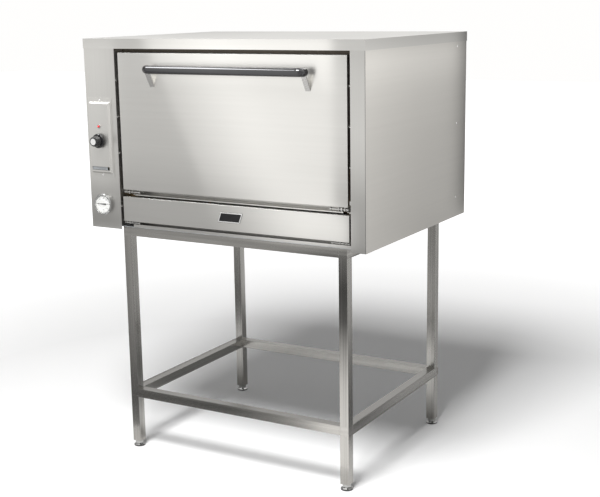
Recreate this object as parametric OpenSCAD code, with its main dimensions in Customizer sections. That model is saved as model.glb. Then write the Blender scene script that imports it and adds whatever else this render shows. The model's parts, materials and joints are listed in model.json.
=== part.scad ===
// Gas deck oven on an open square-tube stand, in millimetres.
// +Z is up and the front faces -Y. The origin is on the floor, under the middle of the whole
// object, from the front of the door handle to the back of the flue collar.

/* [Overall] */
// Width of the casing
body_w = 1200; // [1150:10:1400]
// Depth of the casing, from the face of the columns to the back
body_d = 890; // [820:10:1000]
// Height from the floor to the top of the cover
overall_h = 1617; // [1600:1:1720]
// Height of the stand, with its feet
stand_h = 900; // [870:5:920]
// How far the side panels and columns hang below the top of the stand
skirt_drop = 10; // [5:1:25]
// Thickness of the casing sheets
sheet_t = 1.2; // [1:0.1:1.5]

/* [Cover] */
// Height of the cover's rim
cover_rim_h = 37; // [30:1:50]
// Clearance between the cover's rim and the casing
cover_gap = 0.3; // [0.2:0.05:0.5]

/* [Columns] */
// Width of the control column on the left
control_column_w = 144; // [138:1:160]
// Width of the plain column on the right
right_column_w = 58; // [50:1:80]
// Width of the flange that laps behind each outer edge
lap_flange = 25; // [15:1:35]

/* [Door] */
// Gap between each side of the door and its column
door_side_gap = 13.4; // [10:0.2:18]
// Gap between the door and the cover's rim
door_top_gap = 15; // [12:1:22]
// How far the door's face lies behind the columns' faces
door_recess = 4; // [3:0.5:5]
// Thickness of the door
door_t = 45; // [40:1:55]
// Depth of the outer skin's folded edge
door_skin_fold = 40; // [25:1:44]
// Depth of the inner liner's folded edge
door_liner_fold = 19; // [12:1:24]
// Gap between the closed door and the frame of the mouth, where the seal lies
seal_gap = 5; // [4:0.5:8]
// Width of the seal
seal_w = 10; // [8:1:14]
// Clearance between the seal and the closed door
seal_clear = 0.3; // [0.2:0.1:0.6]

/* [Lower flap] */
// Height of the opening between the flap and the door
reveal_h = 28; // [23:1:32]
// Height of the flap
flap_h = 95; // [90:1:120]
// Height of the flap's lower edge above the stand
flap_lift = 23; // [21:1:30]
// Gap at each side of the flap
flap_side_gap = 9; // [6:0.5:14]
// How far the flap's face lies behind the columns' faces
flap_recess = 5; // [4:0.5:6]
// Thickness of the flap
flap_t = 16; // [14:1:18]

/* [Door handle] */
// Distance from the door's face to the axis of the bar
handle_reach = 45; // [45:1:70]
// Outside diameter of the bar
handle_d = 31; // [24:1:36]
// Length of the bar over its bent ends
handle_l = 694; // [500:2:800]
// Radius of the bar's bends
handle_bend_r = 20; // [19:1:24]
// Wall of the bar's tube
handle_wall = 1.5; // [1:0.1:3]
// Distance of the bar's middle to the right of the door's middle
handle_offset = 3; // [0:1:40]
// Distance of the bar's axis below the top of the door
handle_drop = 58; // [40:1:80]
// Height of the legs' feet below the axis of the bar
leg_fall = 61; // [50:1:90]
// Width of each leg's strap
strap_w = 20; // [14:1:22]
// Thickness of each leg's strap
strap_t = 5; // [4:0.5:6]

/* [Hinges] */
// Distance of the door's hinge axis below the door
door_axis_drop = 9; // [8:0.5:9]
// Distance of the door's hinge axis behind the columns' faces
door_axis_depth = 14; // [13.5:0.5:15]
// Diameter of the door's hinge pins
door_pin_d = 8; // [6:0.5:8]
// Distance of the flap's hinge axis below the flap
flap_axis_drop = 6; // [5.5:0.5:6]
// Distance of the flap's hinge axis behind the columns' faces
flap_axis_depth = 13; // [12.5:0.5:14]
// Diameter of the flap's hinge pins
flap_pin_d = 6; // [4:0.5:6]
// Radial clearance of each pin in its fixed ear
pin_clear = 0.05; // [0.02:0.01:0.1]
// Thickness of each fixed ear
ear_t = 4; // [3:0.5:6]
// Thickness of each moving lug
lug_t = 3; // [2:0.5:4]
// Distance from the edge of the door or flap to the middle of its ear
ear_inset = 26; // [22:1:34]

/* [Sill and ledge] */
// Depth of the sill's front edge behind the columns' faces
sill_depth = 8; // [7:0.5:10]
// Distance of the sill's top below the door
sill_drop = 16; // [15.5:0.5:18]
// Height of the sill's front lip
sill_lip = 7; // [3:0.5:7]
// How far the sill's lip lies behind its front edge
sill_lip_back = 12; // [0:1:14]
// Depth of the lower ledge's front edge behind the columns' faces
ledge_depth = 9; // [8:0.5:10]
// Distance of the lower ledge's top below the flap
ledge_drop = 11; // [10.5:0.5:13]
// Height of the folds that fix the sill and the ledge to the frame
fix_fold = 10; // [6:1:14]
// Width of the notch at the left end of the sill
sill_notch_w = 56; // [50:1:64]
// Width of the notch at the left end of the ledge
ledge_notch_w = 51; // [46:1:60]
// Depth of both notches
notch_depth = 30; // [20:1:38]

/* [Control plate] */
// How far the controls lie to the left of the column's middle
plate_shift = 7; // [0:1:9]
// Width of the plate
plate_w = 114; // [110:1:120]
// Height of the plate
plate_h = 304; // [300:2:330]
// Height of the plate's middle above the floor
plate_z = 1242; // [1225:1:1260]
// Width of the raised pan
pan_w = 87; // [80:1:96]
// Height of the raised pan
pan_h = 262; // [240:2:270]
// How far the pan stands out of the plate
pan_raise = 10; // [6:0.5:14]
// Width of the pan's sloping edge
pan_slope = 6; // [3:0.5:8]
// Width of the slot at the foot of the pan
slot_w = 84; // [50:1:84]
// Height of the slot
slot_h = 13; // [6:0.5:13]
// Height of the slot's middle above the foot of the pan
slot_rise = 13.5; // [13:0.5:18]
// Distance of the plate's fixing screws from its ends
plate_screw_inset = 9; // [7:0.5:10]

/* [Knob] */
// Diameter of the skirt
knob_skirt_d = 55; // [50:1:64]
// Thickness of the skirt
knob_skirt_t = 5; // [4:0.5:8]
// Length of the knob from the back of the skirt to the front
knob_l = 31; // [26:1:40]
// Diameter of the grip where it meets the skirt
knob_grip_d = 43; // [38:1:48]
// Diameter of the grip at the front
knob_front_d = 37; // [34:1:38]
// Diameter of the bright disc on the front
knob_disc_d = 25; // [20:1:32]
// Thickness of the bright disc
knob_disc_t = 2; // [1:0.5:3]
// Distance of the knob's axis below the middle of the plate
knob_drop = 11; // [0:1:30]
// Travel of the knob when it is pushed in
push_travel = 4; // [2:0.5:4]
// Gap between the pan and the knob at rest
knob_gap = 8; // [4.5:0.5:8]
// Diameter of the valve spindle
spindle_d = 8; // [6:0.5:10]

/* [Igniter button] */
// Diameter of the red button
button_d = 9; // [7:0.5:12]
// Height of the button's axis above the knob's axis
button_rise = 55; // [50:1:70]
// Travel of the button
button_travel = 3; // [2:0.5:4]
// Radial clearance of the button in its ring
button_clear = 0.1; // [0.05:0.01:0.1]
// Outside diameter of the ring round the button
ring_d = 15; // [14:0.5:18]

/* [Thermometer] */
// Outside diameter of the bezel
bezel_d = 82; // [70:1:86]
// How far the bezel stands out of the column
bezel_out = 16; // [10:0.5:16]
// Diameter of the dial
dial_d = 72; // [60:1:74]
// Height of the thermometer's axis above the floor
thermo_z = 985; // [975:1:1000]
// Diameter of the case behind the column
case_d = 72; // [60:1:74]
// Depth of the case behind the column's face
case_depth = 22; // [18:1:23]

/* [Cavity] */
// How far the frame of the mouth reaches in from each side of the door
mouth_inset = 30.6; // [28:0.2:40]
// Height of the deck above the lower edge of the door
deck_lift = 26; // [24:1:34]
// Distance of the cavity's roof below the upper edge of the door
roof_drop = 35; // [32:1:60]
// Depth of the cavity
cavity_d = 765; // [700:5:765]
// Thickness of the frame of the mouth
frame_t = 1.5; // [1.2:0.1:2]
// Thickness of the cavity's walls
liner_t = 1.2; // [1:0.1:1.5]
// Thickness of the insulation beside the cavity
side_wool_t = 42; // [30:1:42]
// Thickness of the insulation above the cavity
roof_wool_t = 60; // [40:1:80]
// Thickness of the insulation behind the cavity
back_wool_t = 60; // [40:1:64]

/* [Deck] */
// Thickness of the refractory tiles
tile_t = 30; // [20:1:34]
// Joint between two tiles
tile_joint = 1; // [0.5:0.5:2]
// Width of the open slot beside the tiles, for the hot gas
flue_slot_w = 20; // [12:1:24]
// Number of tiles across the cavity
tiles_across = 4; // [3:1:6]
// Number of tiles from front to back
tiles_deep = 2; // [2:1:3]
// Width of the bars' top and of the ledges that carry them
bar_w = 30; // [24:1:34]
// Thickness of the bars' top, web and ledges
bar_t = 4; // [3:0.5:5]
// Number of bars under the deck
bar_count = 5; // [5:1:7]

/* [Burners] */
// Height of the burners' axis above the floor of the casing
burner_rise = 74; // [70:1:80]
// Diameter of each burner's tube
burner_d = 42; // [36:1:48]
// Wall of each burner's tube
burner_wall = 1.5; // [1:0.1:2]
// Distance between the two burners
burner_pitch = 486; // [400:2:560]
// Diameter of the flared mouth of each burner
burner_mouth_d = 50; // [46:1:56]
// Length of each burner with its mouth
burner_l = 660; // [560:10:680]
// Number of gas ports in each row
port_count = 20; // [10:1:30]
// Diameter of each gas port
port_d = 4; // [2:0.5:5]
// Diameter of the gas pipe in front of the burners
manifold_d = 20; // [16:1:22]
// Diameter of the injector bosses that carry the burners' mouths
boss_d = 16; // [14:1:18]

/* [Flue and gas inlet] */
// Outside diameter of the flue collar
flue_d = 110; // [80:5:120]
// How far the flue collar stands out of the back
flue_out = 40; // [35:1:60]
// Distance of the flue's axis below the cavity's roof
flue_drop = 80; // [70:5:120]
// Outside diameter of the gas inlet's thread
inlet_d = 21; // [17:0.5:27]
// How far the gas inlet stands out of the back
inlet_out = 28; // [20:1:34]
// Thickness of the nut that holds the inlet on the back panel
inlet_nut_t = 8; // [5:0.5:10]

/* [Stand] */
// Width of the stand's square tube
tube = 35; // [32:1:40]
// Wall of the stand's tube
tube_wall = 1.5; // [1.2:0.1:3]
// Width of the stand, over its legs
stand_w = 978; // [900:2:980]
// Depth of the stand, over its legs
stand_d = 805; // [700:5:810]
// Distance of the stand behind the columns' faces
stand_setback = 10; // [10:1:20]
// Distance from the control column's edge to the left legs
stand_shift = 0; // [0:1:16]
// Height of the lower rails' underside above the floor
lower_rail_z = 209; // [120:1:400]

/* [Levelling feet] */
// Height of the foot below the leg
foot_h = 22; // [20:1:36]
// Diameter of the foot's pad
pad_d = 44; // [38:1:50]
// Thickness of the foot's pad
pad_t = 5; // [4:0.5:7]
// Height of the foot's lock nut
foot_nut_h = 10; // [6:0.5:10]
// Width of the foot's lock nut across its flats
foot_nut_w = 30; // [24:1:32]
// Diameter of the foot's stud
stud_d = 12; // [10:1:14]
// Travel of the foot out of the leg
foot_travel = 25; // [10:1:30]

/* [Hidden] */
$fn = 48;
cut = 1;

// Places across the front, measured from the middle of the casing
left_x = -body_w / 2;
right_x = body_w / 2;
column_x = left_x + control_column_w;
right_column_x = right_x - right_column_w;
door_x0 = column_x + door_side_gap;
door_x1 = right_column_x - door_side_gap;
door_mid = (door_x0 + door_x1) / 2;
flap_x0 = column_x + flap_side_gap;
flap_x1 = right_column_x - flap_side_gap;
mouth_x0 = door_x0 + mouth_inset;
mouth_x1 = door_x1 - mouth_inset;
plate_x = left_x + control_column_w / 2 - plate_shift;

// Heights above the floor
tray_z = stand_h;
tray_top = tray_z + sheet_t;
skirt_z = stand_h - skirt_drop;
rim_z = overall_h - cover_rim_h;
under_cover = overall_h - sheet_t;
header_z = rim_z + 1;
flap_z0 = stand_h + flap_lift;
flap_z1 = flap_z0 + flap_h;
door_z0 = flap_z1 + reveal_h;
door_z1 = rim_z - door_top_gap;
sill_z = door_z0 - sill_drop;
ledge_z = flap_z0 - ledge_drop;
deck_z = door_z0 + deck_lift;
roof_z = door_z1 - roof_drop;
bar_z = deck_z - tile_t;
burner_z = tray_top + burner_rise;
handle_z = door_z1 - handle_drop;
knob_z = plate_z - knob_drop;
button_z = knob_z + button_rise;
flue_z = roof_z - flue_drop;
inlet_z = knob_z + 19;

// Depths, measured from the face of the columns towards the back
door_inner = door_recess + door_t;
frame_y = door_inner + seal_gap;
cavity_y = frame_y + frame_t;
cavity_back = cavity_y + cavity_d;
wool_back = cavity_back + liner_t;
back_outer = body_d;
back_inner = body_d - 2 * sheet_t;
pan_face = -sheet_t - pan_raise;
knob_back = pan_face - knob_gap;
knob_front = knob_back - knob_l;
manifold_y = cavity_y + 4.5 + manifold_d / 2;
shutter_y = manifold_y + manifold_d / 2 + 4;
shutter_t = 1.5;
shutter_gap = 0.3;
burner_y = shutter_y + shutter_t + shutter_gap;
handle_axis_y = door_recess - handle_reach;
handle_front = handle_reach + handle_d / 2 - door_recess;

// The whole object is centred from the handle's front to the flue collar's back
front_y = -(body_d + flue_out - handle_front) / 2;

// Burners
burner_x = [door_mid - burner_pitch / 2, door_mid + burner_pitch / 2];
throat_r = 14;
throat_l = 60;
bell_l = 18;
swell_l = 40;
port_margin = 30;

// Stand
leg_x = [column_x + stand_shift + tube / 2, column_x + stand_shift + stand_w - tube / 2];
leg_y = [stand_setback + tube / 2, stand_setback + stand_d - tube / 2];
insert_h = 30;
insert_clear = 0.1;

// Basic forms
module at_front() {
    translate([0, front_y, 0]) children();
}

module span(low, high) {
    translate(low) cube(high - low);
}

module rod_x(x0, x1, y, z, r) {
    translate([x0, y, z]) rotate([0, 90, 0]) cylinder(h = x1 - x0, r = r);
}

module rod_y(y0, y1, x, z, r) {
    translate([x, y1, z]) rotate([90, 0, 0]) cylinder(h = y1 - y0, r = r);
}

module rod_z(z0, z1, x, y, r) {
    translate([x, y, z0]) cylinder(h = z1 - z0, r = r);
}

// A plate cut from a depth and height outline, from x0 to x1
module plate_x(x0, x1) {
    translate([x0, 0, 0]) rotate([90, 0, 90]) linear_extrude(x1 - x0) children();
}

// A turned form about the depth axis, from its radius and depth outline
module turned_y(x, z) {
    translate([x, 0, z]) rotate([-90, 0, 0]) rotate_extrude() children();
}

// A form and its mirror image about a vertical plane at mid
module pair_x(mid) {
    children();
    translate([2 * mid, 0, 0]) mirror([1, 0, 0]) children();
}

// A shallow dome-headed screw whose head stands out along +Z
screw_head_r = 4.2;
screw_head_h = 1.2;
screw_shank_r = 1.8;
screw_shank_l = 5;

module screw() {
    dome = (screw_head_r * screw_head_r + screw_head_h * screw_head_h) / (2 * screw_head_h);
    intersection() {
        translate([0, 0, screw_head_h - dome]) sphere(r = dome, $fn = 64);
        cylinder(h = screw_head_h + cut, r = screw_head_r);
    }
    translate([0, 0, -screw_shank_l]) cylinder(h = screw_shank_l, r = screw_shank_r);
}

// Clearance holes for the screws' shanks
hole_clear = 0.1;
module screw_hole() {
    translate([0, 0, -screw_shank_l - cut]) {
        cylinder(h = screw_shank_l + 2 * cut, r = screw_shank_r + hole_clear);
    }
}

// Places of the casing's screws
side_screw_y = body_d - 93;
side_screw_z = [skirt_z + 79, (skirt_z + overall_h) / 2 + 10, rim_z - 17];
cover_screw_x = [right_x - lap_flange / 2, right_x / 3];

module at_side_screws() {
    for (z = side_screw_z) translate([right_x, side_screw_y, z]) rotate([0, 90, 0]) children();
}

module at_cover_screws() {
    for (x = cover_screw_x) {
        translate([x, back_outer + cover_gap + sheet_t, overall_h - cover_rim_h / 2]) {
            rotate([-90, 0, 0]) children();
        }
    }
}

module at_plate_screws() {
    for (s = [-1, 1]) {
        translate([plate_x, -sheet_t, plate_z + s * (plate_h / 2 - plate_screw_inset)]) {
            rotate([90, 0, 0]) children();
        }
    }
}

// Casing
module top_cover() {
    out = cover_gap + sheet_t;
    color("gainsboro") at_front() difference() {
        span([left_x - out, -out, rim_z], [right_x + out, back_outer + out, overall_h]);
        span([left_x - cover_gap, -cover_gap, rim_z - cut],
            [right_x + cover_gap, back_outer + cover_gap, under_cover]);
        pair_x(0) at_cover_screws() screw_hole();
    }
}

module side_panel() {
    difference() {
        union() {
            span([left_x, sheet_t, skirt_z], [left_x + sheet_t, back_outer, under_cover]);
            span([left_x, back_outer - sheet_t, skirt_z],
                [left_x + lap_flange, back_outer, under_cover]);
            span([left_x, sheet_t, skirt_z], [left_x + lap_flange, back_outer, skirt_z + sheet_t]);
        }
        mirror([1, 0, 0]) {
            at_side_screws() screw_hole();
            at_cover_screws() screw_hole();
        }
    }
}

module left_side_panel() {
    color("silver") at_front() side_panel();
}

module right_side_panel() {
    color("silver") at_front() mirror([1, 0, 0]) side_panel();
}

module casing_screws() {
    color("whitesmoke") at_front() {
        pair_x(0) at_side_screws() screw();
        pair_x(0) at_cover_screws() screw();
        at_plate_screws() screw();
    }
}

module back_panel() {
    inlet_hole_clear = 0.3;
    color("silver") at_front() difference() {
        span([left_x + sheet_t, back_inner, tray_top],
            [right_x - sheet_t, back_inner + sheet_t, under_cover]);
        rod_y(back_inner - cut, back_outer, door_mid, flue_z, flue_d / 2 + inlet_hole_clear);
        rod_y(back_inner - cut, back_outer, plate_x, inlet_z, inlet_d / 2 + inlet_hole_clear);
        pair_x(0) at_cover_screws() screw_hole();
    }
}

module base_tray() {
    tray_fold = 20;
    x0 = left_x + sheet_t;
    color("silver") at_front() {
        span([x0, ledge_depth, tray_z], [-x0, back_inner + sheet_t, tray_top]);
        pair_x(0) {
            span([x0, lap_flange + 2 * sheet_t, tray_z],
                [x0 + sheet_t, back_inner, tray_top + tray_fold]);
        }
    }
}

// A column's face with the two returns that stand on the tray
module column(x0, x1) {
    span([x0, 0, skirt_z], [x1, sheet_t, under_cover]);
    pair_x((x0 + x1) / 2) {
        span([x0, 0, tray_top], [x0 + sheet_t, sheet_t, under_cover]);
    }
}

module control_column() {
    opening_margin = 6;
    w = pan_w / 2 - opening_margin;
    h = pan_h / 2 - opening_margin;
    outer = left_x + sheet_t;
    color("silver") at_front() difference() {
        union() {
            span([left_x, 0, skirt_z], [column_x, sheet_t, under_cover]);
            span([outer, 0, tray_top], [outer + sheet_t, lap_flange, under_cover]);
            span([column_x - sheet_t, 0, tray_top], [column_x, frame_y, under_cover]);
        }
        span([plate_x - w, -cut, plate_z - h], [plate_x + w, sheet_t + cut, plate_z + h]);
        rod_y(-cut, sheet_t + cut, plate_x, thermo_z, case_d / 2 + hole_clear);
        at_plate_screws() screw_hole();
    }
}

module right_column() {
    outer = right_x - sheet_t;
    color("silver") at_front() {
        span([right_column_x, 0, skirt_z], [right_x, sheet_t, under_cover]);
        span([outer - sheet_t, 0, tray_top], [outer, lap_flange, under_cover]);
        span([right_column_x, 0, tray_top], [right_column_x + sheet_t, frame_y, under_cover]);
    }
}

// Small plates that stand out of the columns into the gaps beside the door and the flap
module column_clips() {
    out = 5;
    deep = 18;
    thick = 3;
    first_y = sheet_t + 0.5;
    step = (door_z1 - door_z0) * 0.267;
    top_z = door_z1 - 104;
    color("whitesmoke") at_front() {
        for (i = [0:2]) {
            z = top_z - i * step;
            span([column_x, first_y, z], [column_x + out, first_y + deep, z + thick]);
            span([right_column_x - out, first_y, z], [right_column_x, first_y + deep, z + thick]);
        }
        z = (flap_z0 + flap_z1) / 2 + 8;
        span([column_x, first_y, z], [column_x + out, first_y + deep, z + thick]);
        span([right_column_x - out, first_y, door_z0 + 10],
            [right_column_x, first_y + thick, door_z0 + 24]);
    }
}

module front_header() {
    color("silver") at_front() {
        span([column_x, 0, header_z], [right_column_x, sheet_t, under_cover]);
        span([column_x, 0, header_z], [right_column_x, frame_y, header_z + sheet_t]);
    }
}

module mouth_frame() {
    color("darkgray") at_front() difference() {
        span([column_x, frame_y, tray_top], [right_column_x, cavity_y, under_cover]);
        span([mouth_x0, frame_y - cut, deck_z], [mouth_x1, cavity_y + cut, roof_z]);
        span([mouth_x0, frame_y - cut, ledge_z + fix_fold + 3],
            [mouth_x1, cavity_y + cut, sill_z - fix_fold]);
    }
}

// A folded shelf across the front, with a notch for the hinge at its left end
module folded_shelf(top, depth, lip, lip_back, notch_w) {
    difference() {
        union() {
            span([column_x, depth, top - sheet_t], [right_column_x, frame_y, top]);
            span([column_x, depth + lip_back, top - lip],
                [right_column_x, depth + lip_back + sheet_t, top]);
            span([column_x, frame_y - sheet_t, top - sheet_t],
                [right_column_x, frame_y, top + fix_fold]);
        }
        span([column_x - cut, depth - cut, top - lip - cut],
            [column_x + notch_w, depth + notch_depth, top + cut]);
    }
}

module front_sill() {
    small_notch = 22;
    x1 = door_x1 - 4;
    color("silver") at_front() difference() {
        folded_shelf(sill_z, sill_depth, sill_lip, sill_lip_back, sill_notch_w);
        span([x1 - small_notch, sill_depth - cut, sill_z - sill_lip - cut],
            [x1, sill_depth + notch_depth / 2, sill_z + cut]);
    }
}

module lower_ledge() {
    color("silver") at_front() {
        folded_shelf(ledge_z, ledge_depth, ledge_z - tray_top, 0, ledge_notch_w);
    }
}

// Hinges
// A fixed ear, whose nose turns clear of the edge that hangs on it
module ear(x, axis_y, axis_z, drop, floor_z, pin_d) {
    nose_clear = 0.3;
    r = drop - nose_clear;
    plate_x(x - ear_t / 2, x + ear_t / 2) difference() {
        union() {
            intersection() {
                translate([axis_y, axis_z]) circle(r = r);
                translate([axis_y - r, floor_z]) square([2 * r, 2 * r]);
            }
            translate([axis_y, floor_z]) square([frame_y - sheet_t - axis_y, axis_z + r - floor_z]);
        }
        translate([axis_y, axis_z]) circle(r = pin_d / 2 + pin_clear);
    }
}

module hinge_ears() {
    above_shelf = 0.3;
    door_axis_z = door_z0 - door_axis_drop;
    flap_axis_z = flap_z0 - flap_axis_drop;
    color("gainsboro") at_front() {
        pair_x(door_mid) ear(door_x0 + ear_inset, door_axis_depth, door_axis_z,
            door_axis_drop, sill_z + above_shelf, door_pin_d);
        pair_x((flap_x0 + flap_x1) / 2) ear(flap_x0 + ear_inset, flap_axis_depth, flap_axis_z,
            flap_axis_drop, ledge_z + above_shelf, flap_pin_d);
    }
}

// Two lugs under an edge and the pin that joins them through the ear
module lugs_and_pin(edge_x, axis_y, edge_z, drop, lug_r, pin_d, head_r) {
    fit = 0.02;
    lug_gap = 9;
    pin_end = 5;
    reach = 42;
    x = edge_x + ear_inset;
    z = edge_z - drop;
    for (s = [-1, 1]) {
        mid = x + s * (ear_t / 2 + lug_gap + lug_t / 2);
        plate_x(mid - lug_t / 2, mid + lug_t / 2) difference() {
            union() {
                translate([axis_y, z]) circle(r = lug_r);
                translate([axis_y - lug_r, z]) square([2 * lug_r, drop]);
            }
            translate([axis_y, z]) circle(r = pin_d / 2 + fit);
        }
    }
    rod_x(edge_x + pin_end, x + reach, axis_y, z, pin_d / 2);
    rod_x(x + reach, x + reach + head_r, axis_y, z, head_r);
    translate([edge_x + pin_end - 4, axis_y, z]) rotate([0, 90, 0]) {
        cylinder(h = 4, r = head_r, $fn = 6);
    }
}

module door_hinges() {
    lug_r = door_axis_drop - 2.7;
    color("whitesmoke") at_front() pair_x(door_mid) {
        lugs_and_pin(door_x0, door_axis_depth, door_z0, door_axis_drop, lug_r, door_pin_d, 6);
    }
}

module flap_hinges() {
    lug_r = flap_axis_drop - 1.4;
    color("whitesmoke") at_front() pair_x((flap_x0 + flap_x1) / 2) {
        lugs_and_pin(flap_x0, flap_axis_depth, flap_z0, flap_axis_drop, lug_r, flap_pin_d, 4.5);
    }
}

// Door
module door_skin() {
    fold_y = door_recess + door_skin_fold;
    color("whitesmoke") at_front() difference() {
        span([door_x0, door_recess, door_z0], [door_x1, fold_y, door_z1]);
        span([door_x0 + sheet_t, door_recess + sheet_t, door_z0 + sheet_t],
            [door_x1 - sheet_t, fold_y + cut, door_z1 - sheet_t]);
    }
}

module door_liner() {
    low = [door_x0 + sheet_t, door_inner - door_liner_fold, door_z0 + sheet_t];
    high = [door_x1 - sheet_t, door_inner, door_z1 - sheet_t];
    wall = [sheet_t, sheet_t, sheet_t];
    color("silver") at_front() difference() {
        span(low, high);
        span([low.x + sheet_t, low.y - cut, low.z + sheet_t], high - wall);
    }
}

module door_insulation() {
    edge = 2 * sheet_t;
    color("lightyellow") at_front() {
        span([door_x0 + edge, door_recess + sheet_t, door_z0 + edge],
            [door_x1 - edge, door_inner - sheet_t, door_z1 - edge]);
    }
}

module door_seal() {
    off = 5;
    x0 = mouth_x0 - off;
    x1 = mouth_x1 + off;
    z0 = deck_z - off;
    z1 = roof_z + off;
    front = door_inner + seal_clear;
    color("dimgray") at_front() difference() {
        span([x0 - seal_w, front, z0 - seal_w], [x1 + seal_w, frame_y, z1 + seal_w]);
        span([x0, front - cut, z0], [x1, frame_y + cut, z1]);
    }
}

// The handle's bar, a straight tube whose ends turn back towards the door
handle_mid = door_mid + handle_offset;
bar_half = handle_l / 2 - handle_bend_r - handle_d / 2;

module bar_form(r, end_gap) {
    rod_x(handle_mid - bar_half, handle_mid + bar_half, handle_axis_y, handle_z, r);
    pair_x(handle_mid) {
        translate([handle_mid + bar_half, handle_axis_y + handle_bend_r, handle_z]) {
            rotate([0, 0, -90]) rotate_extrude(angle = 90 - end_gap) {
                translate([handle_bend_r, 0]) circle(r = r);
            }
        }
    }
}

module handle_bar() {
    closed_end = 8;
    color("dimgray") at_front() difference() {
        bar_form(handle_d / 2, 0);
        bar_form(handle_d / 2 - handle_wall, closed_end);
    }
}

// A leg is a flat strap from the door up to the underside of the bar's turned end
module handle_legs() {
    leg_x = bar_half + handle_bend_r;
    run = handle_reach - handle_bend_r + handle_bend_r / 2;
    slope = atan2(leg_fall, run);
    past = 6;
    color("gainsboro") at_front() difference() {
        pair_x(handle_mid) {
            translate([handle_mid + leg_x, door_recess, handle_z - leg_fall]) {
                rotate([-slope, 0, 0]) mirror([0, 1, 0]) {
                    translate([-strap_w / 2, -handle_reach, -strap_t / 2]) {
                        cube([strap_w, norm([run, leg_fall]) + handle_reach + past, strap_t]);
                    }
                }
            }
        }
        bar_form(handle_d / 2, 0);
        span([door_x0, door_recess, door_z0 - door_t], [door_x1, 2 * door_t + handle_reach, door_z1]);
    }
}

// Lower flap
module flap_panel() {
    color("whitesmoke") at_front() difference() {
        span([flap_x0, flap_recess, flap_z0], [flap_x1, flap_recess + flap_t, flap_z1]);
        span([flap_x0 + sheet_t, flap_recess + sheet_t, flap_z0 + sheet_t],
            [flap_x1 - sheet_t, flap_recess + flap_t + cut, flap_z1 - sheet_t]);
    }
}

// A bare slanted plate on the flap
module badge_plate() {
    w = 96;
    h = 38;
    lean = 14;
    thick = 1.5;
    rise = 2.5;
    z = (flap_z0 + flap_z1) / 2 + rise;
    color("black") at_front() translate([door_mid, flap_recess, z]) rotate([90, 0, 0]) {
        linear_extrude(thick) polygon([[-(w + lean) / 2, -h / 2], [(w - lean) / 2, -h / 2],
            [(w + lean) / 2, h / 2], [(lean - w) / 2, h / 2]]);
    }
}

// Control plate
module pan_form(inset) {
    w = pan_w / 2 - inset;
    h = pan_h / 2 - inset;
    open_y = inset > 0 ? cut : -sheet_t;
    face = pan_face + inset;
    hull() {
        span([-w - pan_slope, -sheet_t - 0.2, -h - pan_slope],
            [w + pan_slope, open_y, h + pan_slope]);
        span([-w, face, -h], [w, face + 0.2, h]);
    }
}

module control_plate() {
    w = plate_w / 2;
    h = plate_h / 2;
    slot_z = plate_z - pan_h / 2 + slot_rise;
    color("gainsboro") at_front() difference() {
        translate([plate_x, 0, plate_z]) difference() {
            union() {
                span([-w, -sheet_t, -h], [w, 0, h]);
                pan_form(0);
            }
            pan_form(sheet_t);
        }
        span([plate_x - slot_w / 2, pan_face - cut, slot_z - slot_h / 2],
            [plate_x + slot_w / 2, cut, slot_z + slot_h / 2]);
        rod_y(pan_face - cut, cut, plate_x, knob_z, spindle_d / 2 + 1);
        rod_y(pan_face - cut, cut, plate_x, button_z, ring_d / 2 - 1.5 + hole_clear);
        at_plate_screws() screw_hole();
    }
}

// Piezo igniter behind the plate, with a ring in front of it and a lead to its electrode
igniter_l = 44;
ring_out = 2;
button_stop = 1;
electrode_x = burner_x[0] + 46;
electrode_y = burner_y + 60;

module igniter_body() {
    r = ring_d / 2 - 1.5;
    back = pan_face + sheet_t + igniter_l;
    lead_r = 1.5;
    low = burner_z - 28;
    lead_x = plate_x + 34;
    color("darkgray") at_front() {
        difference() {
            union() {
                rod_y(pan_face, back, plate_x, button_z, r);
                rod_y(pan_face - ring_out, pan_face, plate_x, button_z, ring_d / 2);
            }
            rod_y(pan_face - ring_out - cut, pan_face + 12, plate_x, button_z,
                button_d / 2 + button_clear);
        }
        rod_x(plate_x + r - cut, lead_x, back - 6, button_z, lead_r);
        rod_z(low, button_z + lead_r, lead_x, back - 6, lead_r);
        rod_y(back - 6, electrode_y, lead_x, low, lead_r);
        rod_x(lead_x, electrode_x, electrode_y, low, lead_r);
        rod_z(low, burner_z + 20, electrode_x, electrode_y, lead_r);
        rod_z(low + 12, burner_z, electrode_x, electrode_y, 4);
    }
}

module igniter_button() {
    proud = 5;
    r = button_d / 2;
    tip = pan_face - ring_out - proud;
    dome = 3;
    color("red") at_front() turned_y(plate_x, button_z) {
        polygon([[0, tip], [r * 0.6, tip + 0.4], [r * 0.9, tip + dome / 2], [r, tip + dome],
            [r, pan_face + 12 - button_travel - button_stop],
            [0, pan_face + 12 - button_travel - button_stop]]);
    }
}

// Gas valve with its thermostat head, carried by its neck on the back of the pan
valve_w = 50;
valve_y0 = 12;
valve_depth = 44;
valve_h = 84;
neck_r = 13;

module gas_valve() {
    y1 = valve_y0 + valve_depth;
    bore_r = spindle_d / 2 + pin_clear;
    color("goldenrod") at_front() difference() {
        union() {
            span([plate_x - valve_w / 2, valve_y0, knob_z - valve_h / 2],
                [plate_x + valve_w / 2, y1, knob_z + valve_h / 2]);
            rod_y(pan_face + sheet_t, valve_y0, plate_x, knob_z, neck_r);
            rod_z(knob_z - valve_h / 2 - 14, knob_z, plate_x, valve_y0 + 22, 12);
        }
        rod_y(pan_face, valve_y0 + 34, plate_x, knob_z, bore_r);
        rod_y(pan_face, valve_y0 - 4, plate_x, knob_z, neck_r - 3);
    }
}

// A collar inside the valve's neck, which moves in with the knob but doesn't turn
collar_t = 6;
module spindle_collar() {
    y0 = pan_face + sheet_t + 2;
    color("silver") at_front() difference() {
        rod_y(y0, y0 + collar_t, plate_x, knob_z, neck_r - 3 - pin_clear);
        rod_y(y0 - cut, y0 + collar_t + cut, plate_x, knob_z, spindle_d / 2 + pin_clear);
    }
}

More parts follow.
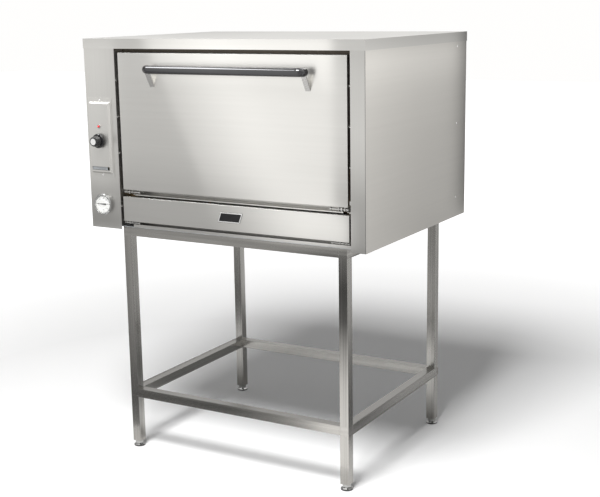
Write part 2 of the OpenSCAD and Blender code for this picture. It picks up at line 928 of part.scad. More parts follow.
knob_bore_l = 22;
module valve_spindle() {
    color("silver") at_front() {
        rod_y(knob_back - (knob_l - knob_skirt_t - 8), valve_y0 + 34 - push_travel - cut,
            plate_x, knob_z, spindle_d / 2);
    }
}

module knob() {
    r0 = knob_skirt_d / 2;
    r1 = knob_grip_d / 2;
    r2 = knob_front_d / 2;
    bore_end = knob_back - (knob_l - knob_skirt_t - 8);
    edge = 1.5;
    notch = 3;
    rest_angle = 25;
    color([0.08, 0.08, 0.09]) at_front() difference() {
        union() {
            turned_y(plate_x, knob_z) {
                polygon([[0, knob_back], [r0, knob_back], [r0, knob_back - knob_skirt_t + edge],
                    [r0 - edge, knob_back - knob_skirt_t],
                    [r1, knob_back - knob_skirt_t], [r2, knob_front + 2 * edge],
                    [r2 - edge, knob_front], [0, knob_front]]);
            }
        }
        rod_y(bore_end, knob_back + cut, plate_x, knob_z, spindle_d / 2 + 0.02);
        rod_y(knob_front - cut, knob_front + knob_disc_t / 2, plate_x, knob_z,
            knob_disc_d / 2 + 0.05);
        for (i = [0:11]) {
            translate([plate_x, 0, knob_z]) rotate([0, i * 30, 0]) {
                rod_y(knob_front - cut, knob_back - knob_skirt_t - 1, r1 + notch, 0, notch + 1.2);
            }
        }
        translate([plate_x, 0, knob_z]) rotate([0, rest_angle, 0]) {
            span([-1, knob_back - knob_skirt_t - cut, r0 - 5], [1, knob_back - 2, r0 + cut]);
        }
    }
}

module knob_disc() {
    color("white") at_front() {
        rod_y(knob_front - knob_disc_t / 2, knob_front + knob_disc_t / 2, plate_x, knob_z,
            knob_disc_d / 2);
    }
}

// Thermometer
dial_y = -bezel_out + 6;
glass_t = 2;
pointer_y = dial_y - 1;

module thermometer_case() {
    r0 = bezel_d / 2;
    rd = dial_d / 2;
    rc = case_d / 2;
    color("whitesmoke") at_front() turned_y(plate_x, thermo_z) {
        polygon([[0, dial_y + 1], [rd, dial_y + 1], [rd, -bezel_out + 1], [rd + 1, -bezel_out],
            [r0 - 2.5, -bezel_out + 0.6], [r0, -bezel_out + 4], [r0, 0], [rc, 0],
            [rc, case_depth], [0, case_depth]]);
    }
}

module thermometer_dial() {
    color("white") at_front() difference() {
        rod_y(dial_y, dial_y + 1, plate_x, thermo_z, dial_d / 2 - pin_clear);
        rod_y(dial_y - cut, dial_y + 1 + cut, plate_x, thermo_z, 1.5 + pin_clear);
    }
}

module thermometer_pointer() {
    color("black") at_front() {
        rod_y(pointer_y - 1.6, dial_y + 1, plate_x, thermo_z, 1.5);
        translate([plate_x, pointer_y, thermo_z]) rotate([90, 0, 0]) difference() {
            linear_extrude(0.8) {
                polygon([[-dial_d * 0.36, -0.6], [-6, -1.6], [6, -2.2], [16, -2.6], [16, 2.6],
                    [6, 2.2], [-6, 1.6], [-dial_d * 0.36, 0.6]]);
            }
            translate([0, 0, -cut]) cylinder(h = 3, r = 1.5);
        }
    }
}

module thermometer_glass() {
    color([0.9, 0.95, 1, 0.4]) at_front() {
        rod_y(-bezel_out + 1, -bezel_out + 1 + glass_t, plate_x, thermo_z,
            dial_d / 2 - pin_clear);
    }
}

// Bulbs of the thermostat and the thermometer on the cavity's left wall, with their capillaries
bulb_r = 4;
bulb_l = 120;
bulb_side = 9;
bulb_depth = 245;
bulb_step = 30;
bulb_clip_inset = 20;
bulb_clip_half = 3;
capillary_r = 1.2;
capillary_side = 30;
capillary_depth = 28;
capillary_bend = 2;
thermostat_bulb_drop = 30;
thermometer_bulb_drop = 70;
bulb_x = mouth_x0 + bulb_side;
bulb_y = cavity_y + bulb_depth;
second_bulb_y = bulb_y + bulb_step;
thermostat_bulb_z = roof_z - thermostat_bulb_drop;
thermometer_bulb_z = roof_z - thermometer_bulb_drop;
thermometer_line_x = plate_x - capillary_side;

module bulb(z, y) {
    half = bulb_clip_half;
    past = 0.6;
    rod_y(y, y + bulb_l, bulb_x, z, bulb_r);
    for (c = [bulb_clip_inset, bulb_l - bulb_clip_inset]) {
        span([mouth_x0, y + c - half, z - half],
            [bulb_x - bulb_r + past, y + c + half, z + half]);
    }
}

module sensing_bulbs() {
    valve_top = knob_z + valve_h / 2;
    y1 = valve_y0 + capillary_depth;
    y2 = case_depth + capillary_bend;
    color("goldenrod") at_front() {
        bulb(thermostat_bulb_z, bulb_y);
        rod_x(plate_x, bulb_x, bulb_y, thermostat_bulb_z, capillary_r);
        rod_y(y1, bulb_y, plate_x, thermostat_bulb_z, capillary_r);
        rod_z(valve_top, thermostat_bulb_z, plate_x, y1, capillary_r);
        bulb(thermometer_bulb_z, second_bulb_y);
        rod_x(thermometer_line_x, bulb_x, second_bulb_y, thermometer_bulb_z, capillary_r);
        rod_y(y2, second_bulb_y, thermometer_line_x, thermometer_bulb_z, capillary_r);
        rod_z(thermo_z, thermometer_bulb_z, thermometer_line_x, y2, capillary_r);
        rod_y(case_depth, y2, thermometer_line_x, thermo_z, capillary_r);
    }
}

// Gas line
module gas_inlet_pipe() {
    pipe_r = 8;
    relief = 1;
    wall = 4;
    face = back_inner + sheet_t;
    nut_end = face + inlet_nut_t;
    end = back_outer + inlet_out;
    color("goldenrod") at_front() difference() {
        union() {
            rod_y(valve_y0 + valve_depth, face, plate_x, inlet_z, pipe_r);
            translate([plate_x, face, inlet_z]) rotate([-90, 0, 0]) {
                cylinder(h = inlet_nut_t, r = inlet_d * 0.72, $fn = 6);
            }
            rod_y(face, nut_end + relief, plate_x, inlet_z, inlet_d / 2 - relief / 2);
            rod_y(nut_end + relief, end, plate_x, inlet_z, inlet_d / 2);
        }
        rod_y(face, end + cut, plate_x, inlet_z, inlet_d / 2 - wall);
    }
}

module burner_manifold() {
    down_y = valve_y0 + 22;
    top = knob_z - valve_h / 2 - 14;
    r = manifold_d / 2;
    end_x = burner_x[1] + 30;
    color("darkgoldenrod") at_front() difference() {
        union() {
            rod_z(burner_z, top, plate_x, down_y, 8);
            rod_y(down_y, manifold_y, plate_x, burner_z, 8);
            translate([plate_x, down_y, burner_z]) sphere(r = 8);
            translate([plate_x, manifold_y, burner_z]) sphere(r = r);
            rod_x(plate_x, end_x, manifold_y, burner_z, r);
            for (x = burner_x) rod_y(manifold_y, burner_y + 8, x, burner_z, boss_d / 2);
        }
        for (x = burner_x) rod_y(manifold_y + r, burner_y + 8 + cut, x, burner_z, 1.2);
    }
}

module burner(x) {
    r = burner_d / 2;
    rm = burner_mouth_d / 2;
    y0 = burner_y;
    y1 = y0 + bell_l;
    y2 = y1 + throat_l;
    y3 = y2 + swell_l;
    y4 = y0 + burner_l;
    t = burner_wall;
    step = (y4 - y3 - 2 * port_margin) / (port_count - 1);
    difference() {
        turned_y(x, burner_z) {
            polygon([[boss_d / 2 + 0.1, y0], [rm, y0], [rm, y0 + t], [throat_r + t, y1],
                [throat_r + t, y2], [r, y3], [r, y4], [0, y4], [0, y4 - t], [r - t, y4 - t],
                [r - t, y3], [throat_r, y2], [throat_r, y1], [rm - t, y0 + t],
                [boss_d / 2 + 0.1, y0 + t]]);
        }
        for (a = [-35, 35]) {
            for (i = [0:port_count - 1]) {
                translate([x, y3 + port_margin + i * step, burner_z]) rotate([0, a, 0]) {
                    cylinder(h = r + 5, r = port_d / 2, $fn = 16);
                }
            }
        }
        shutter_windows(x, y0 - cut, y0 + t + cut);
    }
}

module shutter_windows(x, y0, y1) {
    for (a = [45:90:315]) {
        translate([x, 0, burner_z]) rotate([0, a, 0]) rod_y(y0, y1, 0, boss_d / 2 + 7.5, 5);
    }
}

// The two burners, the tube that carries the flame across, and the blocks they rest on
module burners() {
    r = burner_d / 2;
    cross_r = 8;
    rest_l = 30;
    rest_half = 16;
    cross_y = burner_y + burner_l * 0.26;
    rest_y = burner_y + burner_l - 2 * rest_l;
    color("dimgray") at_front() {
        for (x = burner_x) {
            burner(x);
            difference() {
                span([x - rest_half, rest_y, tray_top],
                    [x + rest_half, rest_y + rest_l, burner_z - r / 2]);
                rod_y(rest_y - cut, rest_y + rest_l + cut, x, burner_z, r);
            }
        }
        difference() {
            rod_x(burner_x[0], burner_x[1], cross_y, burner_z, cross_r);
            for (x = burner_x) rod_y(cross_y - r, cross_y + r, x, burner_z, r);
        }
    }
}

module air_shutter(x) {
    color("silver") at_front() difference() {
        rod_y(shutter_y, shutter_y + shutter_t, x, burner_z, burner_mouth_d / 2);
        rod_y(shutter_y - cut, shutter_y + shutter_t + cut, x, burner_z, boss_d / 2 + pin_clear);
        shutter_windows(x, shutter_y - cut, shutter_y + shutter_t + cut);
    }
}

module left_air_shutter() {
    air_shutter(burner_x[0]);
}

module right_air_shutter() {
    air_shutter(burner_x[1]);
}

// Pilot burner beside the left burner, on a bracket that stands on the tray
pilot_side = 34;
pilot_depth = 16;
pilot_r = 6;
pilot_low = 20;
pilot_high = 14;
pilot_line_r = 3;
pilot_line_drop = 40;
line_side = 18;
line_depth = 22;
bracket_t = 2;
bracket_half = 8;
bracket_reach = 22;
pilot_x = burner_x[0] + pilot_side;
pilot_y = electrode_y + pilot_depth;
small_line_y = valve_y0 + line_depth;
small_line_top = knob_z - valve_h / 2;
module pilot_burner() {
    low = burner_z - pilot_line_drop;
    line_x = plate_x - line_side;
    x0 = pilot_x - bracket_half;
    x1 = pilot_x + bracket_reach;
    back = pilot_y + bracket_half;
    front = pilot_y + bracket_half - bracket_reach;
    color("goldenrod") at_front() {
        rod_z(burner_z - pilot_low, burner_z + pilot_high, pilot_x, pilot_y, pilot_r);
        span([x0, back - bracket_t, tray_top], [x1, back, burner_z + 2 * bracket_t]);
        span([x0, front, tray_top], [x1, back, tray_top + bracket_t]);
        rod_z(low, burner_z - pilot_low, pilot_x, pilot_y, pilot_line_r);
        rod_x(line_x, pilot_x, pilot_y, low, pilot_line_r);
        rod_y(small_line_y, pilot_y, line_x, low, pilot_line_r);
        rod_z(low, small_line_top, line_x, small_line_y, pilot_line_r);
    }
}

probe_side = 14;
probe_r = 2.4;
probe_low = 26;
probe_high = 18;
probe_line_r = 1.6;
probe_line_drop = 50;
module thermocouple() {
    low = burner_z - probe_line_drop;
    line_x = plate_x + line_side;
    x = pilot_x + probe_side;
    color("peru") at_front() {
        rod_z(burner_z - probe_low, burner_z + probe_high, x, pilot_y, probe_r);
        rod_z(low, burner_z - probe_low, x, pilot_y, probe_line_r);
        rod_x(line_x, x, pilot_y, low, probe_line_r);
        rod_y(small_line_y, pilot_y, line_x, low, probe_line_r);
        rod_z(low, small_line_top, line_x, small_line_y, probe_line_r);
    }
}

// Cavity
window_y0 = cavity_y + 2;
window_y1 = pilot_y + 12;
window_z0 = tray_top + 18;
window_z1 = burner_z + 24;

// The way through the left wall and its insulation for the gas and pilot lines
module line_window(x0, x1) {
    span([x0, window_y0, window_z0], [x1, window_y1, window_z1]);
    rod_x(x0, x1, bulb_y, thermostat_bulb_z, capillary_r + hole_clear);
    rod_x(x0, x1, second_bulb_y, thermometer_bulb_z, capillary_r + hole_clear);
}

module cavity_side_walls() {
    color("lightslategray") at_front() {
        difference() {
            span([mouth_x0 - liner_t, cavity_y, tray_top], [mouth_x0, cavity_back, roof_z]);
            line_window(mouth_x0 - 2 * liner_t, mouth_x0 + cut);
        }
        span([mouth_x1, cavity_y, tray_top], [mouth_x1 + liner_t, cavity_back, roof_z]);
    }
}

module cavity_back_wall() {
    color("lightslategray") at_front() difference() {
        span([mouth_x0 - liner_t, cavity_back, tray_top],
            [mouth_x1 + liner_t, cavity_back + liner_t, roof_z]);
        rod_y(cavity_back - cut, cavity_back + liner_t + cut, door_mid, flue_z,
            flue_d / 2 - sheet_t);
    }
}

module cavity_roof() {
    color("lightslategray") at_front() {
        span([mouth_x0 - liner_t, cavity_y, roof_z],
            [mouth_x1 + liner_t, cavity_back + liner_t, roof_z + liner_t]);
    }
}

module insulation() {
    x0 = mouth_x0 - liner_t;
    x1 = mouth_x1 + liner_t;
    top = roof_z + liner_t;
    back = wool_back + back_wool_t;
    color("lightyellow") at_front() {
        difference() {
            span([x0 - side_wool_t, cavity_y, tray_top], [x0, back, top]);
            line_window(x0 - side_wool_t - cut, x0 + cut);
        }
        span([x1, cavity_y, tray_top], [x1 + side_wool_t, back, top]);
        difference() {
            span([x0, wool_back, tray_top], [x1, back, top]);
            rod_y(wool_back - cut, back + cut, door_mid, flue_z, flue_d / 2);
        }
        span([x0 - side_wool_t, cavity_y, top], [x1 + side_wool_t, back, top + roof_wool_t]);
    }
}

module flue_duct() {
    color("lightslategray") at_front() difference() {
        rod_y(wool_back, back_outer + flue_out, door_mid, flue_z, flue_d / 2);
        rod_y(wool_back - cut, back_outer + flue_out + cut, door_mid, flue_z,
            flue_d / 2 - sheet_t);
    }
}

module deck_supports() {
    ledge_top = bar_z - bar_t;
    first = cavity_y + bar_w / 2 + 1;
    last = cavity_back - bar_w / 2 - 1;
    web_end = bar_w + 4;
    color("dimgray") at_front() {
        pair_x(door_mid) {
            span([mouth_x0, cavity_y, ledge_top - bar_w],
                [mouth_x0 + bar_t, cavity_back, ledge_top]);
            span([mouth_x0, cavity_y, ledge_top - bar_t],
                [mouth_x0 + bar_w, cavity_back, ledge_top]);
        }
        for (i = [0:bar_count - 1]) {
            y = first + i * (last - first) / (bar_count - 1);
            span([mouth_x0, y - bar_w / 2, ledge_top], [mouth_x1, y + bar_w / 2, bar_z]);
            span([mouth_x0 + web_end, y - bar_t / 2, ledge_top - bar_w + bar_t],
                [mouth_x1 - web_end, y + bar_t / 2, ledge_top]);
        }
    }
}

module deck_tiles() {
    x0 = mouth_x0 + flue_slot_w;
    y0 = cavity_y + 1;
    dx = (mouth_x1 - flue_slot_w - x0 + tile_joint) / tiles_across;
    dy = (cavity_back - 1 - y0 + tile_joint) / tiles_deep;
    color("burlywood") at_front() {
        for (i = [0:tiles_across - 1]) {
            for (j = [0:tiles_deep - 1]) {
                x = x0 + i * dx;
                y = y0 + j * dy;
                span([x, y, bar_z], [x + dx - tile_joint, y + dy - tile_joint, deck_z]);
            }
        }
    }
}

// Stand
module tube_z(x, y, z0, z1) {
    h = tube / 2;
    w = h - tube_wall;
    difference() {
        span([x - h, y - h, z0], [x + h, y + h, z1]);
        span([x - w, y - w, z0 - cut], [x + w, y + w, z1 + cut]);
    }
}

module rail_x(y, z0) {
    x0 = leg_x[0] + tube / 2;
    x1 = leg_x[1] - tube / 2;
    difference() {
        span([x0, y - tube / 2, z0], [x1, y + tube / 2, z0 + tube]);
        span([x0 - cut, y - tube / 2 + tube_wall, z0 + tube_wall],
            [x1 + cut, y + tube / 2 - tube_wall, z0 + tube - tube_wall]);
    }
}

module rail_y(x, z0) {
    y0 = leg_y[0] + tube / 2;
    y1 = leg_y[1] - tube / 2;
    difference() {
        span([x - tube / 2, y0, z0], [x + tube / 2, y1, z0 + tube]);
        span([x - tube / 2 + tube_wall, y0 - cut, z0 + tube_wall],
            [x + tube / 2 - tube_wall, y1 + cut, z0 + tube - tube_wall]);
    }
}

module stand_legs() {
    color("gray") at_front() {
        for (x = leg_x) {
            for (y = leg_y) tube_z(x, y, foot_h, stand_h);
        }
    }
}

module rail_frame(z0) {
    for (y = leg_y) rail_x(y, z0);
    for (x = leg_x) rail_y(x, z0);
}

module stand_top_rails() {
    color("gray") at_front() rail_frame(stand_h - tube);
}

module stand_lower_rails() {
    color("gray") at_front() rail_frame(lower_rail_z);
}

module leg_inserts() {
    w = tube / 2 - tube_wall - insert_clear;
    color("black") at_front() {
        for (x = leg_x) {
            for (y = leg_y) {
                difference() {
                    span([x - w, y - w, foot_h], [x + w, y + w, foot_h + insert_h]);
                    rod_z(foot_h - cut, foot_h + insert_h + cut, x, y, stud_d / 2 + pin_clear);
                }
            }
        }
    }
}

// A levelling foot: a pad with its stud, and the lock nut below the leg
foot_gap = 0.3;
stud_spare = 5;
module foot(x, y) {
    r = pad_d / 2;
    s = stud_d / 2;
    round_off = 0.8;
    rim = 2;
    nut_z = foot_h - foot_gap - foot_nut_h;
    neck_top = nut_z - foot_gap;
    neck_r = foot_nut_w / 2 - rim;
    stud_top = foot_h + insert_h + foot_travel - stud_spare;
    color("dimgray") at_front() translate([x, y, 0]) {
        rotate_extrude() {
            polygon([[0, 0], [r - round_off, 0], [r, round_off], [r, pad_t],
                [r - rim, pad_t + round_off], [neck_r, neck_top], [s, neck_top],
                [s, stud_top - 1], [s - 1, stud_top], [0, stud_top]]);
        }
        difference() {
            translate([0, 0, nut_z]) {
                cylinder(h = foot_nut_h, r = foot_nut_w / 2 / cos(30), $fn = 6);
            }
            translate([0, 0, nut_z - cut]) {
                cylinder(h = foot_nut_h + 2 * cut, r = s + pin_clear);
            }
        }
    }
}

module front_left_foot() {
    foot(leg_x[0], leg_y[0]);
}

module front_right_foot() {
    foot(leg_x[1], leg_y[0]);
}

module rear_left_foot() {
    foot(leg_x[0], leg_y[1]);
}

module rear_right_foot() {
    foot(leg_x[1], leg_y[1]);
}

top_cover();
left_side_panel();
right_side_panel();
casing_screws();
back_panel();
base_tray();
control_column();
right_column();
column_clips();
front_header();
mouth_frame();
front_sill();
lower_ledge();
hinge_ears();
control_plate();
igniter_body();
igniter_button();
gas_valve();
spindle_collar();
valve_spindle();
knob();
knob_disc();
thermometer_case();
thermometer_dial();
thermometer_pointer();
thermometer_glass();
sensing_bulbs();
gas_inlet_pipe();
burner_manifold();
burners();
left_air_shutter();
right_air_shutter();
pilot_burner();
thermocouple();
cavity_side_walls();
cavity_back_wall();
cavity_roof();
deck_supports();
deck_tiles();
insulation();
flue_duct();
door_seal();
door_skin();
door_liner();
door_insulation();
handle_bar();
handle_legs();
door_hinges();
flap_panel();
badge_plate();
flap_hinges();
stand_legs();
stand_top_rails();
stand_lower_rails();
leg_inserts();
front_left_foot();
front_right_foot();
rear_left_foot();
rear_right_foot();
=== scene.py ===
"""Dresses the deck oven's frame: sheet steel, controls, thermometer, inner parts and stand, in a studio."""

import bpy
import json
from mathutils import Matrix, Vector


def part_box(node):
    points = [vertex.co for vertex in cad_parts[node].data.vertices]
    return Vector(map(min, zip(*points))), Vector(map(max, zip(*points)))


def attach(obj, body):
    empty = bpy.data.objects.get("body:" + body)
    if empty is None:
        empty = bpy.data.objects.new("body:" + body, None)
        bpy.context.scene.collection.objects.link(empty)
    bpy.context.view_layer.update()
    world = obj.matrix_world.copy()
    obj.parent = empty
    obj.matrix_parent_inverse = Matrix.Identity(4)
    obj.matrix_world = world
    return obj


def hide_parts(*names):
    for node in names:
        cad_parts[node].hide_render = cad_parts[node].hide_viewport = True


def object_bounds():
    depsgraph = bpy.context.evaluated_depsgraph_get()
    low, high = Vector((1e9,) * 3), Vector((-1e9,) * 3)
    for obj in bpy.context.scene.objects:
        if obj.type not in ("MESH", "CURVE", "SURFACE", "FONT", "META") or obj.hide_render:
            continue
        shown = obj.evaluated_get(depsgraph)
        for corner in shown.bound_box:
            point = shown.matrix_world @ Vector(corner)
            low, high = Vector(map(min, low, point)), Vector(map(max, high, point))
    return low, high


bl_info = {
    "name": "Deck oven dressing",
    "version": (1, 0, 0),
    "blender": (4, 5, 0),
    "location": "3D View > Sidebar > Deck oven",
    "description": "Finishes and fine pieces for a gas deck oven on an open stand",
    "category": "Object",
}

import json
import math

import bmesh
import bpy
from bpy.props import FloatProperty, FloatVectorProperty, IntProperty, PointerProperty
from mathutils import Matrix, Vector, noise

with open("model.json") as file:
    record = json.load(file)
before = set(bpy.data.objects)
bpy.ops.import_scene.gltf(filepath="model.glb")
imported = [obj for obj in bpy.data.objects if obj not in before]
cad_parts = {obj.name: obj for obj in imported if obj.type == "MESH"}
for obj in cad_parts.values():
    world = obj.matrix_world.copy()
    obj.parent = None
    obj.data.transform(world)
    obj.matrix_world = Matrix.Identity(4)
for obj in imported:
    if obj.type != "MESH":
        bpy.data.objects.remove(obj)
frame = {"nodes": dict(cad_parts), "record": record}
CAD_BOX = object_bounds()
NODES = frame["nodes"]
SLOT_OF = {row["node"]: row["material_slot"] for row in frame["record"]["subparts"]}
BODY_OF = {node: body for body, nodes in frame["record"]["behaviour"]["bodies"].items() for node in nodes}


# Sizes, colours and light that a user would change


def length(name, description, default, low, high):
    return FloatProperty(name=name, description=description, default=default, min=low, max=high,
                         subtype="DISTANCE", unit="LENGTH", precision=5)


def number(name, description, default, low, high):
    return FloatProperty(name=name, description=description, default=default, min=low, max=high)


def angle(name, description, degrees):
    return FloatProperty(name=name, description=description, default=math.radians(degrees), subtype="ANGLE")


def colour(name, description, default):
    return FloatVectorProperty(name=name, description=description, default=default, size=3,
                               min=0.0, max=1.0, subtype="COLOR")


class OvenSizes(bpy.types.PropertyGroup):
    """Sizes of the fine pieces"""

    sheet_round: length("Sheet fold", "Radius of the folded sheet edges", 0.0006, 0.0001, 0.002)
    tube_round: length("Tube corner", "Radius of the square tube's corners", 0.0025, 0.0005, 0.004)
    tile_round: length("Tile edge", "Wear on the tiles' edges", 0.0018, 0.0005, 0.004)
    small_round: length("Small edge", "Radius of small machined pieces' edges", 0.0003, 0.0001, 0.001)
    bead_radius: length("Weld bead", "Radius of the weld beads on the stand", 0.0022, 0.001, 0.004)
    bead_step: length("Weld ripple", "Distance between two ripples of a weld bead", 0.0024, 0.001, 0.005)
    badge_border: length("Badge border", "Width of the pale border of the badge", 0.0045, 0.001, 0.006)
    tick_long: length("Long mark", "Length of the dial's main marks", 0.0055, 0.002, 0.01)
    tick_short: length("Short mark", "Length of the dial's small marks", 0.003, 0.001, 0.006)
    digit_height: length("Digits", "Height of the dial's numbers", 0.0062, 0.003, 0.01)
    slot_width: length("Slot width", "Width of the control plate's slot", 0.084, 0.05, 0.09)
    slot_height: length("Slot height", "Height of the slot's middle above the floor", 1.1245, 1.0, 1.3)
    grille_depth: length("Grille depth", "Distance of the ribbed sheet behind the pan", 0.004, 0.002, 0.01)
    grille_pitch: length("Grille pitch", "Distance between two ribs", 0.0032, 0.002, 0.01)
    # The dark strip at the casing's corner is painted shade for the crease
    seam_width: length("Seam", "Width of the sealed joint at the casing's corner", 0.0014, 0.0005, 0.003)
    pad_ring: length("Pad ring", "Height of the rubber ring round a foot's pad", 0.0046, 0.002, 0.005)
    braid_pitch: length("Braid", "Length of one crossing of the seal's braid", 0.012, 0.004, 0.03)
    wool_voxel: length("Wool detail", "Size of the tufts in the mineral wool", 0.012, 0.008, 0.03)
    dial_steps: IntProperty(name="Dial steps", description="Number of main steps on the dial", default=6,
                            min=3, max=12)


class OvenColours(bpy.types.PropertyGroup):
    """Colours of the finishes"""

    steel: colour("Sheet steel", "Satin stainless sheet", (0.60, 0.592, 0.57))
    side_steel: colour("Side sheet", "Satin stainless sheet of the sides", (0.56, 0.545, 0.515))
    stand_steel: colour("Stand", "Ground stainless tube", (0.41, 0.40, 0.38))
    inner_steel: colour("Inner sheet", "Sheet that has been tanned by heat", (0.40, 0.375, 0.335))
    tan: colour("Heat tan", "Straw and brown tint of heated steel", (0.36, 0.24, 0.12))
    zinc: colour("Zinc coat", "Galvanised sheet", (0.50, 0.52, 0.54))
    # Near black: painted dark reflection, the polished bar's base colour stands in for the dark room it
    # mirrors
    dark_chrome: colour("Handle", "Polished bar", (0.075, 0.075, 0.077))
    bright_chrome: colour("Bright metal", "Polished and plated pieces", (0.90, 0.90, 0.895))
    black: colour("Black moulding", "Knob and badge", (0.006, 0.006, 0.007))
    red: colour("Igniter button", "Gloss red", (0.74, 0.035, 0.04))
    dial: colour("Dial", "White enamel", (0.86, 0.86, 0.84))
    ink: colour("Ink", "Marks and numbers of the dial", (0.05, 0.05, 0.055))
    brass: colour("Brass", "Valve, pipes and pilot", (0.62, 0.44, 0.17))
    copper: colour("Copper", "Capillaries and thermocouple", (0.64, 0.33, 0.20))
    iron: colour("Deck bars", "Mill scale on rolled iron", (0.075, 0.07, 0.067))
    tile: colour("Tiles", "Fired clay", (0.62, 0.52, 0.39))
    wool: colour("Wool", "Mineral wool", (0.62, 0.55, 0.34))
    seal: colour("Seal", "Braided heat resistant cord", (0.16, 0.155, 0.15))
    rubber: colour("Inserts", "Black plastic of the leg inserts", (0.02, 0.02, 0.02))


class OvenStudio(bpy.types.PropertyGroup):
    """Light and camera"""

    camera_x: length("Camera X", "Camera to the right of the casing's middle", 2.3573, -20, 20)
    camera_y: length("Camera Y", "Camera in front of the columns' faces", 3.4963, 0.5, 20)
    camera_z: length("Camera Z", "Camera above the floor", 1.745, 0, 10)
    yaw: angle("Turn", "Turn of the camera to the left", 30.0)
    pitch: angle("Tilt", "Tilt of the camera upwards", -12.0)
    roll: angle("Roll", "Roll of the camera", -0.9)
    lens: number("Lens", "Focal length on a 36 mm wide sensor, in millimetres", 69.93, 20, 200)
    room: number("Room light", "Brightness of the room", 0.16, 0, 2)
    mirrored_room: number("Mirrored room", "Brightness of the room in the metal", 0.85, 0, 2)
    floor_white: number("Floor white", "How much whiter the floor is seen than lit", 0.05, 0, 1)
    mirrored_floor: number("Mirrored floor", "Share of that white in the metal", 0.5, 0, 1)
    key: number("Key softbox", "Brightness of the softbox above the front", 37.0, 0, 120)
    strip: number("Strip light", "Brightness of the strip that the handle mirrors", 13.0, 0, 40)
    cards: number("Cards", "Brightness of the graded cards that the sheets mirror", 1.0, 0, 2)
    card_distance: length("Card distance", "Distance of the cards from the sheets", 0.15, 0.09, 2)


def sizes():
    return bpy.context.scene.oven_sizes


def colours():
    return bpy.context.scene.oven_colours


def studio():
    return bpy.context.scene.oven_studio


# Building node trees

MIX_SOCKETS = {"FLOAT": (2, 3, 0), "VECTOR": (4, 5, 1), "RGBA": (6, 7, 2)}


class Tree:
    """Short ways to build a node tree. A value is a socket or a node to link, or a constant to set."""

    def __init__(self, tree):
        self.tree = tree

    def feed(self, socket, value):
        if isinstance(value, bpy.types.NodeSocket):
            self.tree.links.new(value, socket)
        elif isinstance(value, bpy.types.Node):
            self.tree.links.new(value.outputs[0], socket)
        elif socket.type == "RGBA" and len(value) == 3:
            socket.default_value = (*value, 1.0)
        else:
            socket.default_value = value

    def put(self, node, **values):
        """Feeds sockets by their names, with _ for a space."""
        for key, value in values.items():
            self.feed(node.inputs[key.replace("_", " ")], value)

    def add(self, kind, *first_inputs, **values):
        """A new shader node. Names with a capital are its sockets, and the others its settings."""
        made = self.tree.nodes.new("ShaderNode" + kind)
        for key, value in values.items():
            if key[0].islower():
                setattr(made, key, value)
            else:
                self.put(made, **{key: value})
        for socket, value in zip(made.inputs, first_inputs):
            self.feed(socket, value)
        return made

    def maths(self, operation, *values):
        """A maths node, or a chain of them for more than two values."""
        result = values[0]
        for value in values[1:] or (0.0,):
            result = self.add("Math", result, value, operation=operation).outputs[0]
        return result

    def vector_maths(self, operation, *values):
        return self.add("VectorMath", *values, operation=operation)

    def spread(self, value, low, high, from_low=0.0, from_high=1.0):
        """Maps value from one range to another, and clamps it."""
        return self.add("MapRange", Value=value, From_Min=from_low, From_Max=from_high,
                        To_Min=low, To_Max=high).outputs["Result"]

    def rise(self, value, start, end):
        """0 up to start, 1 from end on, and even in between."""
        return self.spread(value, 0.0, 1.0, start, end)

    def mix(self, share, first, second, kind="RGBA"):
        made = self.add("Mix", share, data_type=kind)
        one, two, out = MIX_SOCKETS[kind]
        self.feed(made.inputs[one], first)
        self.feed(made.inputs[two], second)
        return made.outputs[out]

    def mix_number(self, share, first, second):
        return self.mix(share, first, second, "FLOAT")

    def noise_at(self, vector, scale, detail, roughness):
        return self.add("TexNoise", Vector=vector, Scale=scale, Detail=detail,
                        Roughness=roughness).outputs["Fac"]

    def split(self, vector):
        return self.add("SeparateXYZ", vector).outputs

    def ramp(self, value, stops):
        """A curve through stops of (place, number)."""
        low, high = stops[0][0], stops[-1][0]
        top = max(level for place, level in stops)
        made = self.add("FloatCurve", Value=self.rise(value, low, high))
        curve = made.mapping.curves[0]
        while len(curve.points) < len(stops):
            curve.points.new(0.5, 0.5)
        for point, (place, level) in zip(curve.points, stops):
            point.location = ((place - low) / (high - low), level / top)
            point.handle_type = "VECTOR"
        made.mapping.update()
        return self.maths("MULTIPLY", made.outputs[0], top)


# Effects that several finishes share


class Group(Tree):
    """A node group that takes a place and gives masks."""

    def __init__(self, name, inputs, outputs):
        super().__init__(bpy.data.node_groups.new(name, "ShaderNodeTree"))
        sockets = self.tree.interface
        sockets.new_socket("Vector", in_out="INPUT", socket_type="NodeSocketVector")
        for label, default in inputs.items():
            kind = "NodeSocketFloat" if isinstance(default, float) else "NodeSocketVector"
            sockets.new_socket(label, in_out="INPUT", socket_type=kind).default_value = default
        for label in outputs:
            sockets.new_socket(label, in_out="OUTPUT", socket_type="NodeSocketFloat")
        self.given = self.tree.nodes.new("NodeGroupInput").outputs
        self.vector = self.given["Vector"]
        self.leave = self.tree.nodes.new("NodeGroupOutput")


def grain_group():
    """Brushing lines: fine hairlines, broader streaks and soft clouds from handling."""
    g = Group("brushing_lines", {"Stretch": (4.0, 500.0, 500.0), "Cloud Scale": 3.0},
              ("Lines", "Streaks", "Clouds"))
    fine = g.vector_maths("MULTIPLY", g.vector, g.given["Stretch"])
    wide = g.vector_maths("MULTIPLY", fine, (0.35, 0.12, 0.12))
    g.put(g.leave,
          Lines=g.rise(g.noise_at(fine, 1.0, 3.0, 0.7), 0.25, 0.75),
          Streaks=g.rise(g.noise_at(wide, 1.0, 3.0, 0.6), 0.3, 0.7),
          Clouds=g.rise(g.noise_at(g.vector, g.given["Cloud Scale"], 3.0, 0.5), 0.3, 0.7))
    return g.tree


